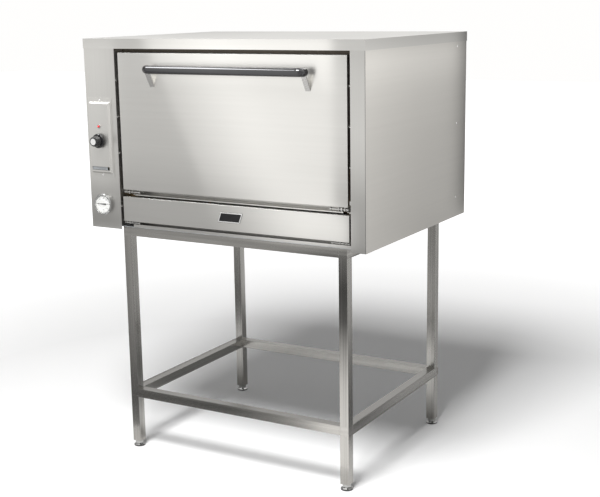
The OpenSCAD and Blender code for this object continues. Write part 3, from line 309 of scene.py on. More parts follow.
def speckle_group():
    """Pores and lumps of fired clay, castings and moulded surfaces."""
    g = Group("pores_and_lumps", {"Pore Scale": 260.0, "Lump Scale": 30.0}, ("Pores", "Lumps", "Tone"))
    cells = g.add("TexVoronoi", Vector=g.vector, Scale=g.given["Pore Scale"])
    tone_scale = g.maths("MULTIPLY", g.given["Lump Scale"], 0.2)
    g.put(g.leave,
          Pores=g.spread(cells.outputs["Distance"], 1.0, 0.0, 0.0, 0.45),
          Lumps=g.rise(g.noise_at(g.vector, g.given["Lump Scale"], 6.0, 0.6), 0.3, 0.7),
          Tone=g.rise(g.noise_at(g.vector, tone_scale, 4.0, 0.5), 0.3, 0.7))
    return g.tree


def scratch_group():
    """Sparse fine scratches from use, along two crossing directions."""
    g = Group("fine_scratches", {"Scale": 1.0}, ("Scratches",))
    found = []
    for turn in ((0.3, 0.5, 0.2), (-0.6, 0.2, 0.9)):
        turned = g.add("Mapping", Vector=g.vector, Rotation=turn)
        lines = g.vector_maths("MULTIPLY", turned, (7.0, 420.0, 150.0))
        found.append(g.rise(g.noise_at(lines, g.given["Scale"], 1.0, 0.5), 0.70, 0.76))
    g.put(g.leave, Scratches=g.maths("MAXIMUM", *found))
    return g.tree


def dust_group():
    """A mask of dust and floor marks that fades out upwards."""
    g = Group("floor_dust", {"Height": 0.09}, ("Dust",))
    share = g.maths("DIVIDE", g.split(g.vector)["Z"], g.given["Height"])
    patches = g.noise_at(g.vector, 60.0, 5.0, 0.65)
    edge = g.maths("ADD", share, g.spread(patches, -0.35, 0.35, 0.3, 0.7))
    g.put(g.leave, Dust=g.spread(edge, 0.8, 0.0, 0.15, 1.0))
    return g.tree


GROUP_MAKERS = {"grain": grain_group, "speckle": speckle_group, "scratch": scratch_group, "dust": dust_group}
_groups = {}
_materials = {}


# Finishes

# How densely the brushing lines lie on each axis
ALONG_X = (5.0, 620.0, 620.0)
ALONG_Y = (620.0, 5.0, 620.0)
ALONG_Z = (620.0, 620.0, 5.0)
LEVEL = (5.0, 5.0, 620.0)
ALL_WAYS = (180.0, 180.0, 180.0)
# The tangent that smears a highlight across the lines
ACROSS = {ALONG_X: {"Y": 0.3, "Z": 1.0}, ALONG_Y: {"X": 0.3, "Z": 1.0}, ALONG_Z: {"X": 1.0, "Y": 1.0}}
RUST = (0.22, 0.09, 0.04)
DUST = (0.30, 0.28, 0.25)
# Tint of the cover's sideways faces: painted shade, darker than the sheet
COVER_SIDE_SHADE = (0.44, 0.433, 0.415)


class Finish(Tree):
    """A new material with its Principled shader and the place on the object in metres."""

    def __init__(self, name, **shader):
        self.material = bpy.data.materials.new(name)
        self.material.use_nodes = True
        super().__init__(self.material.node_tree)
        self.shader = self.tree.nodes["Principled BSDF"]
        self.set(**shader)
        self.vector = self.add("TexCoord").outputs["Object"]

    def set(self, **values):
        self.put(self.shader, **values)

    def masks(self, name, **values):
        """The masks of a shared group at this material's place."""
        if name not in _groups:
            _groups[name] = GROUP_MAKERS[name]()
        return self.add("Group", node_tree=_groups[name], Vector=self.vector, **values)

    def grain(self, stretch, cloud_scale):
        return self.masks("grain", Stretch=stretch, Cloud_Scale=cloud_scale).outputs

    def spots(self, pore_scale, lump_scale):
        return self.masks("speckle", Pore_Scale=pore_scale, Lump_Scale=lump_scale).outputs

    def bump(self, height, distance, strength):
        made = self.add("Bump", Height=height, Strength=strength, Distance=distance)
        self.set(Normal=made.outputs["Normal"])

    def lay_over(self, share, tint):
        """Blends a tint over the base colour."""
        below = self.shader.inputs["Base Color"].links[0].from_socket
        self.set(Base_Color=self.mix(share, below, tint))


def shaded(tint, factor):
    return tuple(min(1.0, part * factor) for part in tint)


def brushed(name, tint, along=ALONG_X, rough=0.29, tone=0.03, cloud=0.03, depth=0.000008, smear=0.6,
            stretch=None):
    """Satin brushed steel, with hairlines, streaks and faint clouds.

    stretch, if given, makes the hairlines' stretch, where it isn't the same everywhere.
    """
    m = Finish(name, Metallic=1.0, Anisotropic=smear)
    m.set(Tangent=m.add("CombineXYZ", **ACROSS[along]))
    grain = m.grain(stretch(m) if stretch else along, 2.2)
    m.set(Base_Color=m.mix(grain["Streaks"], shaded(tint, 1.0 - tone), shaded(tint, 1.0 + 0.4 * tone)))
    m.lay_over(m.spread(grain["Clouds"], 0.0, 0.6), shaded(tint, 1.0 - cloud))
    lines = m.spread(grain["Lines"], rough - 0.02, rough + 0.03)
    m.set(Roughness=m.maths("ADD", lines, m.spread(grain["Clouds"], -0.01, 0.03)))
    m.bump(grain["Lines"], depth, 0.35)
    return m


def cover_with_painted_side_shade(name, tint):
    """Brushed steel with painted shade: its sideways faces, the cover's ends, are darker than the rest."""
    m = brushed(name, tint)
    normal = m.add("TexCoord").outputs["Normal"]
    side_shade_mask = m.maths("ABSOLUTE", m.split(normal)["X"])
    m.lay_over(m.spread(side_shade_mask, 0.0, 0.85, 0.6, 0.8), COVER_SIDE_SHADE)
    return m


def tube_lines(m):
    """Stretches the hairlines along each tube: level in the rails and upright in the legs."""
    height = m.split(m.vector)["Z"]
    low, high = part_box("stand_lower_rails")
    half = (high.z - low.z) / 2
    from_middle = m.maths("ABSOLUTE", m.maths("SUBTRACT", height, (low.z + high.z) / 2))
    lower = m.spread(from_middle, 1.0, 0.0, half, half + 0.001)
    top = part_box("stand_top_rails")[0].z
    level = m.maths("MAXIMUM", lower, m.rise(height, top - 0.001, top))
    return m.mix(level, ALONG_Z, LEVEL, "VECTOR")


def stand_metal(name, tint):
    """Ground square tube: hairlines along each tube, scuffs, and dust near the floor."""
    m = brushed(name, tint, ALONG_Z, rough=0.22, tone=0.34, cloud=0.14, depth=0.00003, stretch=tube_lines)
    dust = m.masks("dust", Height=0.12).outputs["Dust"]
    m.lay_over(m.spread(dust, 0.0, 0.4), DUST)
    return m


def polished(name, tint, rough=0.20):
    """Polished or plated metal with faint swirls."""
    m = Finish(name, Metallic=1.0)
    grain = m.grain(ALL_WAYS, 14.0)
    marks = m.spread(m.masks("scratch", Scale=1.6).outputs["Scratches"], 0.0, 0.12)
    soft = m.spread(grain["Clouds"], rough - 0.03, rough + 0.05)
    m.set(Base_Color=m.mix(grain["Clouds"], tint, shaded(tint, 0.93)), Roughness=m.maths("ADD", soft, marks))
    m.bump(grain["Lines"], 0.00001, 0.2)
    return m


def tanned(name, tint, reach, painted_shade=1.0):
    """Inner sheet with brown and straw tints that fade away from the deck within reach."""
    # painted_shade dims the whole tint; below 1 it is painted shade, for a sheet that sits in a dark gap
    tint = shaded(tint, painted_shade)
    m = Finish(name, Metallic=1.0)
    grain = m.grain(ALONG_Z, 5.0)
    near = m.maths("ABSOLUTE", m.maths("SUBTRACT", m.split(m.vector)["Z"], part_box("deck_tiles")[0].z))
    patchy = m.maths("ADD", near, m.spread(grain["Clouds"], -0.10, 0.10))
    m.set(Base_Color=m.mix(grain["Streaks"], shaded(tint, 0.85), tint),
          Roughness=m.spread(grain["Lines"], 0.34, 0.50))
    m.lay_over(m.spread(patchy, 0.75, 0.05, 0.0, reach), colours().tan)
    m.bump(grain["Lines"], 0.00003, 0.35)
    return m


def zinc_coat(name, tint):
    """Galvanised sheet with its crystal spangle."""
    m = Finish(name, Metallic=0.9)
    cells = m.add("TexVoronoi", Vector=m.vector, Scale=55.0)
    bright = m.add("SeparateColor", Color=cells.outputs["Color"]).outputs["Red"]
    m.set(Base_Color=m.mix(bright, shaded(tint, 0.84), tint), Roughness=m.spread(bright, 0.36, 0.52))
    m.bump(m.grain(ALL_WAYS, 6.0)["Clouds"], 0.00005, 0.3)
    return m


def turned_metal(name, tint, rough=0.28, tarnish=0.5):
    """Machined or drawn metal, dulled in patches."""
    m = Finish(name, Metallic=1.0)
    grain = m.grain(ALL_WAYS, 30.0)
    m.set(Base_Color=m.mix(m.spread(grain["Clouds"], 0.0, tarnish), tint, shaded(tint, 0.6)),
          Roughness=m.spread(grain["Clouds"], rough - 0.06, rough + 0.16))
    m.bump(grain["Lines"], 0.00003, 0.3)
    return m


def mill_scale(name, tint, metal=0.55):
    """Rolled iron with scale and a little rust in the hollows."""
    m = Finish(name, Metallic=metal)
    spots = m.spots(320.0, 38.0)
    rusty = tuple(a * 0.6 + b * 0.4 for a, b in zip(tint, RUST))
    m.set(Base_Color=m.mix(m.spread(spots["Tone"], 0.0, 0.7, 0.35, 0.9), tint, rusty),
          Roughness=m.spread(spots["Lumps"], 0.5, 0.75))
    m.bump(spots["Lumps"], 0.0003, 0.4)
    return m


def fired_clay(name, tint):
    """Refractory tile: pores, paler dust and darker baked patches."""
    m = Finish(name)
    spots = m.spots(330.0, 26.0)
    baked = shaded(tint, 0.55)
    m.set(Base_Color=m.mix(spots["Lumps"], tint, shaded(tint, 1.14)),
          Roughness=m.spread(spots["Lumps"], 0.78, 0.95))
    m.lay_over(m.spread(spots["Tone"], 0.0, 0.55), baked)
    m.lay_over(m.spread(spots["Pores"], 0.0, 0.6, 0.75, 1.0), baked)
    m.bump(m.maths("SUBTRACT", spots["Lumps"], spots["Pores"]), 0.0005, 0.5)
    return m


def fibre(name, tint, weave_scale):
    """Mineral wool or braided yarn: short fibres in every direction."""
    m = Finish(name, Roughness=0.95, Sheen_Weight=0.3)
    fibres = m.maths("MAXIMUM", *(
        m.noise_at(m.vector_maths("MULTIPLY", m.vector, stretch), weave_scale, 3.0, 0.6)
        for stretch in ((0.15, 1.0, 1.0), (1.0, 1.0, 0.15))))
    dark = shaded(tint, 0.55)
    m.set(Base_Color=m.mix(m.rise(fibres, 0.45, 0.68), dark, tint))
    m.lay_over(m.spread(m.spots(90.0, 12.0)["Tone"], 0.0, 0.25), dark)
    m.bump(fibres, 0.0006, 0.6)
    return m


def moulded(name, tint, rough, coat=0.0, shine=0.5):
    """Moulded plastic with a fine skin texture."""
    m = Finish(name, Coat_Weight=coat, Specular_IOR_Level=shine)
    spots = m.spots(1800.0, 220.0)
    paler = tuple(part * 1.25 + 0.004 for part in tint)
    m.set(Base_Color=m.mix(spots["Tone"], tint, paler),
          Roughness=m.spread(spots["Lumps"], rough - 0.04, rough + 0.08))
    m.bump(spots["Lumps"], 0.00001, 0.3)
    return m


def enamel(name, tint, rough=0.25):
    """Smooth paint or enamel with a slight orange peel."""
    m = Finish(name, Coat_Weight=0.3)
    spots = m.spots(900.0, 160.0)
    m.set(Base_Color=m.mix(spots["Tone"], tint, shaded(tint, 0.93)),
          Roughness=m.spread(spots["Lumps"], rough, rough + 0.1))
    m.bump(spots["Lumps"], 0.00003, 0.2)
    return m


def clear_glass(name, tint):
    """Flat instrument glass with a trace of dust."""
    m = Finish(name, Transmission_Weight=1.0, IOR=1.45, Alpha=0.1)
    tone = m.spots(700.0, 60.0)["Tone"]
    m.set(Base_Color=m.mix(tone, tint, (0.97, 0.98, 0.98)), Roughness=m.spread(tone, 0.0, 0.04))
    return m


# The finish of each material slot of the record: its maker, its tint or the tint's name, and its options
FINISHES = {
    "brushed_cover": (cover_with_painted_side_shade, "steel", {}),
    "brushed_side": (brushed, "side_steel", {"along": ALONG_Y, "rough": 0.31}),
    "brushed_front": (brushed, "steel", {"along": ALONG_Z, "rough": 0.30}),
    "brushed_plate": (brushed, "steel", {"along": ALONG_Z, "rough": 0.42, "smear": 0.35}),
    "brushed_door": (brushed, "steel", {}),
    "brushed_flap": (brushed, "steel", {}),
    "screw_steel": (polished, "bright_chrome", {"rough": 0.22}),
    "clip_steel": (turned_metal, (0.56, 0.555, 0.54), {"rough": 0.34, "tarnish": 0.3}),
    "galvanised_sheet": (zinc_coat, "zinc", {}),
    # The mouth frame's tint is dimmed to a fifth: painted shade for the dark gap round the door
    "mouth_steel": (tanned, "inner_steel", {"reach": 0.08, "painted_shade": 0.2}),
    "igniter_metal": (turned_metal, (0.50, 0.50, 0.49), {"rough": 0.34, "tarnish": 0.4}),
    "red_plastic": (moulded, "red", {"rough": 0.12, "coat": 0.6}),
    "brass": (turned_metal, "brass", {}),
    "black_plastic": (moulded, "black", {"rough": 0.24, "coat": 0.2}),
    "silver_disc": (polished, "bright_chrome", {}),
    "polished_bezel": (polished, (0.46, 0.46, 0.455), {"rough": 0.12}),
    "dial_face": (enamel, "dial", {}),
    "pointer_black": (enamel, "ink", {"rough": 0.4}),
    "clear_glass": (clear_glass, (1.0, 1.0, 1.0), {}),
    "copper_line": (turned_metal, "copper", {"rough": 0.30, "tarnish": 0.7}),
    "burner_steel": (mill_scale, (0.17, 0.16, 0.15), {"metal": 0.75}),
    "cavity_steel": (tanned, "inner_steel", {"reach": 0.45}),
    "deck_iron": (mill_scale, "iron", {}),
    "refractory": (fired_clay, "tile", {}),
    "wool": (fibre, "wool", {"weave_scale": 700.0}),
    "seal_cord": (fibre, "seal", {"weave_scale": 1500.0}),
    # The bar's near-black tint is a painted dark reflection
    "chrome_bar": (polished, "dark_chrome", {"rough": 0.09}),
    "leg_steel": (brushed, (0.42, 0.415, 0.405), {"along": ALONG_Z, "rough": 0.24}),
    "badge_black": (moulded, "black", {"rough": 0.40, "shine": 0.3}),
    "stand_tube": (stand_metal, "stand_steel", {}),
    "insert_plastic": (moulded, "rubber", {"rough": 0.45}),
    "foot_metal": (polished, (0.42, 0.42, 0.41), {}),
}


def finish_of(slot_name):
    if slot_name not in _materials:
        maker, tint, options = FINISHES[slot_name]
        if isinstance(tint, str):
            tint = tuple(getattr(colours(), tint))
        _materials[slot_name] = maker(slot_name, tint, **options).material
    return _materials[slot_name]


# Dressing the frame's own nodes

TOUCHING = 0.000002
FLAT = math.radians(0.3)
SHARP = math.radians(35)
CRISP = math.radians(30)


def set_smooth(mesh, smooth):
    for face in mesh.polygons:
        face.use_smooth = smooth


def modify(obj, name, kind, **settings):
    made = obj.modifiers.new(name, kind)
    for key, value in settings.items():
        setattr(made, key, value)


def dress(names, radius=0.0, segments=2):
    """Gives nodes their finish, and rounds their sharp edges by modifiers. Their meshes stay."""
    for name in names:
        obj = NODES[name]
        obj.data.materials.clear()
        obj.data.materials.append(finish_of(SLOT_OF[name]))
        set_smooth(obj.data, False)
        if radius:
            modify(obj, "join_corners", "WELD", merge_threshold=TOUCHING)
            modify(obj, "join_flats", "DECIMATE", decimate_type="DISSOLVE", angle_limit=FLAT)
            modify(obj, "round_edges", "BEVEL", width=radius, segments=segments, limit_method="ANGLE",
                   angle_limit=SHARP)


def dress_round(names):
    """Dresses nodes with turned forms: smooth round faces and crisp edges."""
    dress(names)
    for name in names:
        set_smooth(NODES[name].data, True)
        modify(NODES[name], "join_corners", "WELD", merge_threshold=TOUCHING)
        modify(NODES[name], "crisp_edges", "EDGE_SPLIT", split_angle=CRISP)


# Building new pieces


def new_object(name, data):
    obj = bpy.data.objects.new(name, data)
    bpy.context.scene.collection.objects.link(obj)
    return obj


def mesh_from(name, bm):
    mesh = bpy.data.meshes.new(name)
    bm.to_mesh(mesh)
    bm.free()
    return mesh


def piece(name, bm, body, slot_name, smooth=True):
    """Turns a bmesh into a piece that rides on a body and takes a slot's finish."""
    bmesh.ops.recalc_face_normals(bm, faces=bm.faces[:])
    obj = new_object(name, mesh_from(name, bm))
    set_smooth(obj.data, smooth)
    obj.data.materials.append(finish_of(slot_name))
    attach(obj, body)
    return obj


def evaluated(holder):
    """A bmesh of an object with its modifiers, in the world's frame. The object is removed."""
    bpy.context.view_layer.update()
    shape = bpy.data.meshes.new_from_object(holder.evaluated_get(bpy.context.evaluated_depsgraph_get()))
    bm = bmesh.new()
    bm.from_mesh(shape)
    bm.transform(holder.matrix_world)
    bpy.data.objects.remove(holder)
    return bm


def islands(obj):
    """(lowest corner, highest corner) of each separate solid in a node."""
    bm = bmesh.new()
    bm.from_mesh(obj.data)
    bmesh.ops.remove_doubles(bm, verts=bm.verts[:], dist=TOUCHING)
    found, seen = [], set()
    for first in bm.verts:
        if first in seen:
            continue
        stack, members = [first], []
        seen.add(first)
        while stack:
            vert = stack.pop()
            members.append(vert.co.copy())
            others = {edge.other_vert(vert) for edge in vert.link_edges} - seen
            seen |= others
            stack.extend(others)
        found.append((Vector(map(min, zip(*members))), Vector(map(max, zip(*members)))))
    bm.free()
    return found


def turns(sides):
    return [2 * math.pi * k / sides for k in range(sides)]


def bridge(bm, rings, closed=False):
    """Faces between each ring of vertices and the next, and from the last to the first if closed."""
    for one, two in zip(rings, rings[1:] + rings[:1] if closed else rings[1:]):
        for k in range(len(one)):
            n = (k + 1) % len(one)
            bm.faces.new((one[k], one[n], two[n], two[k]))


def tube_along(bm, points, radii, sides=8):
    """A closed tube through points, with a (wide, thick) pair of radii a point."""
    rings = []
    for i, (here, (wide, thick)) in enumerate(zip(points, radii)):
        along = (points[min(i + 1, len(points) - 1)] - points[max(i - 1, 0)]).normalized()
        side = along.cross(Vector((0, 0, 1)) if abs(along.z) < 0.9 else Vector((0, 1, 0))).normalized()
        lift = side.cross(along).normalized()
        rings.append([bm.verts.new(here + side * (wide * math.cos(turn)) + lift * (thick * math.sin(turn)))
                      for turn in turns(sides)])
    bridge(bm, rings)
    bm.faces.new(rings[0][::-1])
    bm.faces.new(rings[-1])


class PieceOperator:
    """What every dressing operator shares."""

    bl_options = {"REGISTER", "UNDO"}

    def execute(self, context):
        self.make()
        return {"FINISHED"}


# Casing

SHEET_NODES = ["top_cover", "left_side_panel", "right_side_panel", "back_panel", "base_tray",
               "control_column", "right_column", "front_header", "front_sill", "lower_ledge", "mouth_frame"]
CREASE_SHADE_STEPS = 40
CREASE_SHADE_THICK = 0.0003


class OVEN_OT_casing(PieceOperator, bpy.types.Operator):
    """Dresses the casing's folded sheets, clips and hinge ears"""

    bl_idname = "oven.casing"
    bl_label = "Casing"

    def make(self):
        dress(SHEET_NODES, sizes().sheet_round)
        dress(["column_clips"], sizes().small_round)
        dress_round(["hinge_ears"])
        self.seam()

    def seam(self):
        """A thin black strip along the joint between the right column and the side panel: painted shade for
        the crease there.
        """
        width = sizes().seam_width
        low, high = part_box("right_side_panel")
        start = Vector((high.x - width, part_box("right_column")[0].y, low.z))
        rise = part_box("top_cover")[0].z - low.z
        points = [start + Vector((0, 0, rise * k / CREASE_SHADE_STEPS)) for k in range(CREASE_SHADE_STEPS + 1)]
        bm = bmesh.new()
        tube_along(bm, points, [(width / 2, CREASE_SHADE_THICK)] * len(points))
        piece("corner_seam", bm, "oven", "insert_plastic")


SCREW_LENGTH = 0.0062
SCREW_SLACK = 0.0004
HEAD_HEIGHT = 0.0012
HEAD_STEPS = 24
HEAD_FOOT = 0.0005
RECESS_DEPTH = 0.0009
RECESS_HALF = 0.00055
RECESS_REACH = 0.0024


def cross_recess(x, y, radius):
    """Depth of a cross recess at a point of a screw's head."""
    if radius > RECESS_REACH or min(abs(x), abs(y)) > RECESS_HALF:
        return 0.0
    return RECESS_DEPTH * (1.0 - 0.6 * radius / RECESS_REACH)


def screw_head(bm, centre, axis, radius, height):
    """A domed head with a cross recess, on a fine square grid mapped to a disc."""
    side = axis.orthogonal().normalized()
    lift = axis.cross(side)
    sphere = (radius * radius + height * height) / (2 * height)
    steps = HEAD_STEPS
    grid = {}
    for i in range(steps + 1):
        for j in range(steps + 1):
            u, v = 2 * i / steps - 1, 2 * j / steps - 1
            x = radius * u * math.sqrt(1 - v * v / 2)
            y = radius * v * math.sqrt(1 - u * u / 2)
            r = math.hypot(x, y)
            dome = math.sqrt(max(sphere * sphere - r * r, 0.0)) - (sphere - height)
            along = max(dome, 0.0) - cross_recess(x, y, r)
            grid[i, j] = bm.verts.new(centre + side * x + lift * y + axis * along)
    for i in range(steps):
        for j in range(steps):
            bm.faces.new((grid[i, j], grid[i + 1, j], grid[i + 1, j + 1], grid[i, j + 1]))
    rim = [grid[i, 0] for i in range(steps)] + [grid[steps, j] for j in range(steps)]
    rim += [grid[i, steps] for i in range(steps, 0, -1)] + [grid[0, j] for j in range(steps, 0, -1)]
    foot = [bm.verts.new(vert.co - axis * HEAD_FOOT) for vert in rim]
    bridge(bm, [foot, rim])
    bm.faces.new(foot)


def screw_axis(size):
    """The axis a screw lies on: where it is as long as a screw, or else its shortest side."""
    fitting = [k for k in range(3) if abs(size[k] - SCREW_LENGTH) <= SCREW_SLACK]
    return fitting[0] if fitting else min(range(3), key=lambda k: size[k])


class OVEN_OT_screws(PieceOperator, bpy.types.Operator):
    """Replaces the casing's screws by domed ones with a cross recess"""

    bl_idname = "oven.screws"
    bl_label = "Casing screws"

    def make(self):
        bm = bmesh.new()
        for low, high in islands(NODES["casing_screws"]):
            size = high - low
            k = screw_axis(size)
            centre = (low + high) / 2
            axis = Vector((0, 0, 0))
            axis[k] = 1 if centre[k] > 0 else -1
            face = (high if axis[k] > 0 else low)[k]
            centre[k] = face - axis[k] * HEAD_HEIGHT
            screw_head(bm, centre, axis, max(size[n] for n in range(3) if n != k) / 2, HEAD_HEIGHT)
        made = piece("cross_head_screws", bm, "oven", "screw_steel")
        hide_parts("casing_screws")


# Door, flap and handle

BORDER_SLOPE = 0.0004
BORDER_RISE = 0.0003
AT_EDGE = 0.0001


class OVEN_OT_door(PieceOperator, bpy.types.Operator):
    """Dresses the door's skin, liner and hinges"""

    bl_idname = "oven.door"
    bl_label = "Door"

    def make(self):
        dress(["door_skin"], sizes().sheet_round * 2, 3)
        dress(["door_liner"], sizes().sheet_round)
        dress_round(["door_hinges"])


class OVEN_OT_flap(PieceOperator, bpy.types.Operator):
    """Dresses the lower flap and its hinges"""

    bl_idname = "oven.flap"
    bl_label = "Lower flap"

    def make(self):
        dress(["flap_panel"], sizes().sheet_round * 2, 3)
        dress_round(["flap_hinges"])


class OVEN_OT_badge(PieceOperator, bpy.types.Operator):
    """Dresses the bare badge and adds its pale raised border"""

    bl_idname = "oven.badge"
    bl_label = "Bare badge"

    def make(self):
        dress(["badge_plate"], sizes().small_round)
        low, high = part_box("badge_plate")
        corners = {(round(v.co.x, 6), round(v.co.z, 6)) for v in NODES["badge_plate"].data.vertices}
        bottom = sorted(corner for corner in corners if abs(corner[1] - low.z) < AT_EDGE)
        top = sorted(corner for corner in corners if abs(corner[1] - high.z) < AT_EDGE)
        outline = [bottom[0], bottom[-1], top[-1], top[0]]
        middle_x, middle_z = (sum(axis) / 4 for axis in zip(*outline))
        half_w = (outline[1][0] - outline[0][0]) / 2
        half_h = (high.z - low.z) / 2
        width = sizes().badge_border
        under, over = low.y + BORDER_RISE, low.y - BORDER_RISE
        bm = bmesh.new()
        rings = []
        for inset, y in ((BORDER_SLOPE, under), (BORDER_SLOPE * 2, over), (width - BORDER_SLOPE, over),
                         (width, under)):
            shrink = 1 - inset / half_h
            ring = []
            for x, z in outline:
                off = x - middle_x
                lean = off - math.copysign(half_w, off)
                ring.append(bm.verts.new((middle_x + math.copysign(half_w - inset, off) + lean * shrink, y,
                                          middle_z + (z - middle_z) * shrink)))
            rings.append(ring)
        bridge(bm, rings, closed=True)
        piece("badge_border", bm, "flap", "screw_steel", smooth=False)


class OVEN_OT_handle(PieceOperator, bpy.types.Operator):
    """Dresses the handle's bar and legs"""

    bl_idname = "oven.handle"
    bl_label = "Handle"

    def make(self):
        dress_round(["handle_bar"])
        dress(["handle_legs"], sizes().small_round * 3)


# Controls

GRILLE_START = -0.002
GRILLE_END = -0.011
GRILLE_HEIGHT = 0.017
GRILLE_WAVE = 0.0011
GRILLE_THICK = 0.0006
RIB_STEPS = 6


class OVEN_OT_controls(PieceOperator, bpy.types.Operator):
    """Dresses the control plate, knob, igniter and valve"""

    bl_idname = "oven.controls"
    bl_label = "Controls"

    def make(self):
        dress(["control_plate"], sizes().sheet_round * 1.5, 3)
        dress_round(["knob", "knob_disc", "valve_spindle", "spindle_collar", "igniter_button", "igniter_body",
                     "gas_valve"])
        self.grille()

    def grille(self):
        """A fine ribbed sheet behind the plate's slot, open at its right end."""
        s = sizes()
        low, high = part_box("control_plate")
        middle = (low.x + high.x) / 2
        left = middle - s.slot_width / 2 + GRILLE_START
        run = middle + s.slot_width / 2 + GRILLE_END - left
        ribs = int(run / s.grille_pitch)
        bottom = s.slot_height - GRILLE_HEIGHT / 2
        bm = bmesh.new()
        rows = []
        for i in range(ribs * RIB_STEPS + 1):
            share = i / (ribs * RIB_STEPS)
            wave = GRILLE_WAVE * (0.5 + 0.5 * math.cos(2 * math.pi * share * ribs))
            rows.append([bm.verts.new((left + run * share, low.y + s.grille_depth - wave,
                                       bottom + GRILLE_HEIGHT * k / 4)) for k in range(5)])
        for here, there in zip(rows, rows[1:]):
            for k in range(4):
                bm.faces.new((here[k], there[k], there[k + 1], here[k + 1]))
        made = bmesh.ops.extrude_face_region(bm, geom=bm.faces[:])
        for part in made["geom"]:
            if isinstance(part, bmesh.types.BMVert):
                part.co.y += GRILLE_THICK
        piece("slot_grille", bm, "oven", "galvanised_sheet")


# Thermometer

SCALE_ARC = 1.5 * math.pi
SCALE_RADIUS = 0.93
SMALL_STEPS = 5
ARC_STEPS = 72
ARC_WIDTH = 0.0006
MARK_THICK = 0.00012
MAIN_HALF = 0.00045
SMALL_HALF = 0.00022
DIGIT_THICK = 0.00006
DEGREES_A_STEP = 50


def dial_turn(share):
    """Angle on the dial of a share of the scale: from the left, clockwise through the top to the bottom."""
    return math.pi - share * SCALE_ARC


class OVEN_OT_thermometer(PieceOperator, bpy.types.Operator):
    """Dresses the thermometer and draws its marks and plain numbers"""

    bl_idname = "oven.thermometer"
    bl_label = "Thermometer"

    def make(self):
        dress_round(["thermometer_case", "thermometer_dial", "thermometer_pointer", "thermometer_glass"])
        low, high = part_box("thermometer_dial")
        centre = (low + high) / 2
        centre.y = low.y
        rim = (high.x - low.x) / 2 * SCALE_RADIUS
        self.marks(centre, rim)
        self.numbers(centre, rim)

    def at(self, centre, radius, turn):
        return centre + Vector((radius * math.cos(turn), 0, radius * math.sin(turn)))

    def bar(self, bm, centre, turn, inner, outer, half):
        """A thin raised mark that points to the dial's middle."""
        across = Vector((-math.sin(turn), 0, math.cos(turn))) * half
        ends = [self.at(centre, radius, turn) + across * sign
                for radius, sign in ((inner, -1), (outer, -1), (outer, 1), (inner, 1))]
        back, face = ([bm.verts.new(end - Vector((0, rise, 0))) for end in ends]
                      for rise in (0.0, MARK_THICK))
        bm.faces.new(back)
        bm.faces.new(face)
        bridge(bm, [back, face])

    def marks(self, centre, rim):
        """Main and small marks, and a thin arc outside them."""
        s = sizes()
        steps = s.dial_steps * SMALL_STEPS
        bm = bmesh.new()
        for i in range(steps + 1):
            reach, half = (s.tick_short, SMALL_HALF) if i % SMALL_STEPS else (s.tick_long, MAIN_HALF)
            self.bar(bm, centre, dial_turn(i / steps), rim - reach, rim, half)
        for i in range(ARC_STEPS):
            half = rim * SCALE_ARC / ARC_STEPS / 2 * 1.02
            self.bar(bm, centre, dial_turn((i + 0.5) / ARC_STEPS), rim, rim + ARC_WIDTH, half)
        piece("dial_marks", bm, "oven", "pointer_black", smooth=False)

    def numbers(self, centre, rim):
        """Plain numbers from 0 upwards."""
        s = sizes()
        for i in range(s.dial_steps + 1):
            words = bpy.data.curves.new(f"number_{i}", "FONT")
            words.body = str(i * DEGREES_A_STEP)
            words.size = s.digit_height
            words.align_x = words.align_y = "CENTER"
            words.extrude = DIGIT_THICK
            words.resolution_u = 3
            holder = new_object(f"number_{i}", words)
            place = self.at(centre, rim - s.tick_long - s.digit_height * 0.85, dial_turn(i / s.dial_steps))
            holder.matrix_world = Matrix.Translation(place) @ Matrix.Rotation(math.pi / 2, 4, "X")
            bm = evaluated(holder)
            piece(f"dial_number_{i * DEGREES_A_STEP}", bm, "oven", "pointer_black", smooth=False)


# Cavity, deck, burners, seal and insulation

SEAL_WIDTH = 0.010
SEAL_CORNER = 0.012
SEAL_STEP = 0.0024
SEAL_SIDES = 16
CORNER_STEPS = 6
WOOL_INSET = 0.001
TUFT_DEPTH = 0.004
TUFT_SCALE = 38.0


class OVEN_OT_cavity(PieceOperator, bpy.types.Operator):
    """Dresses the cavity's walls, the deck and what carries it"""

    bl_idname = "oven.cavity"
    bl_label = "Cavity and deck"

    def make(self):
        dress(["cavity_side_walls", "cavity_back_wall", "cavity_roof", "deck_supports"])
        dress(["deck_tiles"], sizes().tile_round)
        dress_round(["flue_duct"])


class OVEN_OT_burners(PieceOperator, bpy.types.Operator):
    """Dresses the burners, their shutters and the gas and sensing lines"""

    bl_idname = "oven.burners"
    bl_label = "Burners and gas line"

    def make(self):
        dress_round(["burners", "left_air_shutter", "right_air_shutter", "burner_manifold", "gas_inlet_pipe",
                     "pilot_burner", "thermocouple", "sensing_bulbs"])


def seal_path(low, high):
    """A rounded rectangle in the plane of the cavity's mouth."""
    inset = SEAL_WIDTH / 2 + SEAL_CORNER
    y = (low.y + high.y) / 2
    points = []
    centres = ((high.x - inset, high.z - inset), (low.x + inset, high.z - inset),
               (low.x + inset, low.z + inset), (high.x - inset, low.z + inset))
    for quarter, (x, z) in enumerate(centres):
        for k in range(CORNER_STEPS + 1):
            turn = math.pi / 2 * (quarter + k / CORNER_STEPS)
            points.append(Vector((x + SEAL_CORNER * math.cos(turn), y, z + SEAL_CORNER * math.sin(turn))))
    return points


def even_points(points, step):
    """Points at an even distance along a closed path."""
    placed = []
    left = 0.0
    for here, there in zip(points, points[1:] + points[:1]):
        run = (there - here).length
        while left < run:
            placed.append(here.lerp(there, left / run))
            left += step
        left -= run
    return placed


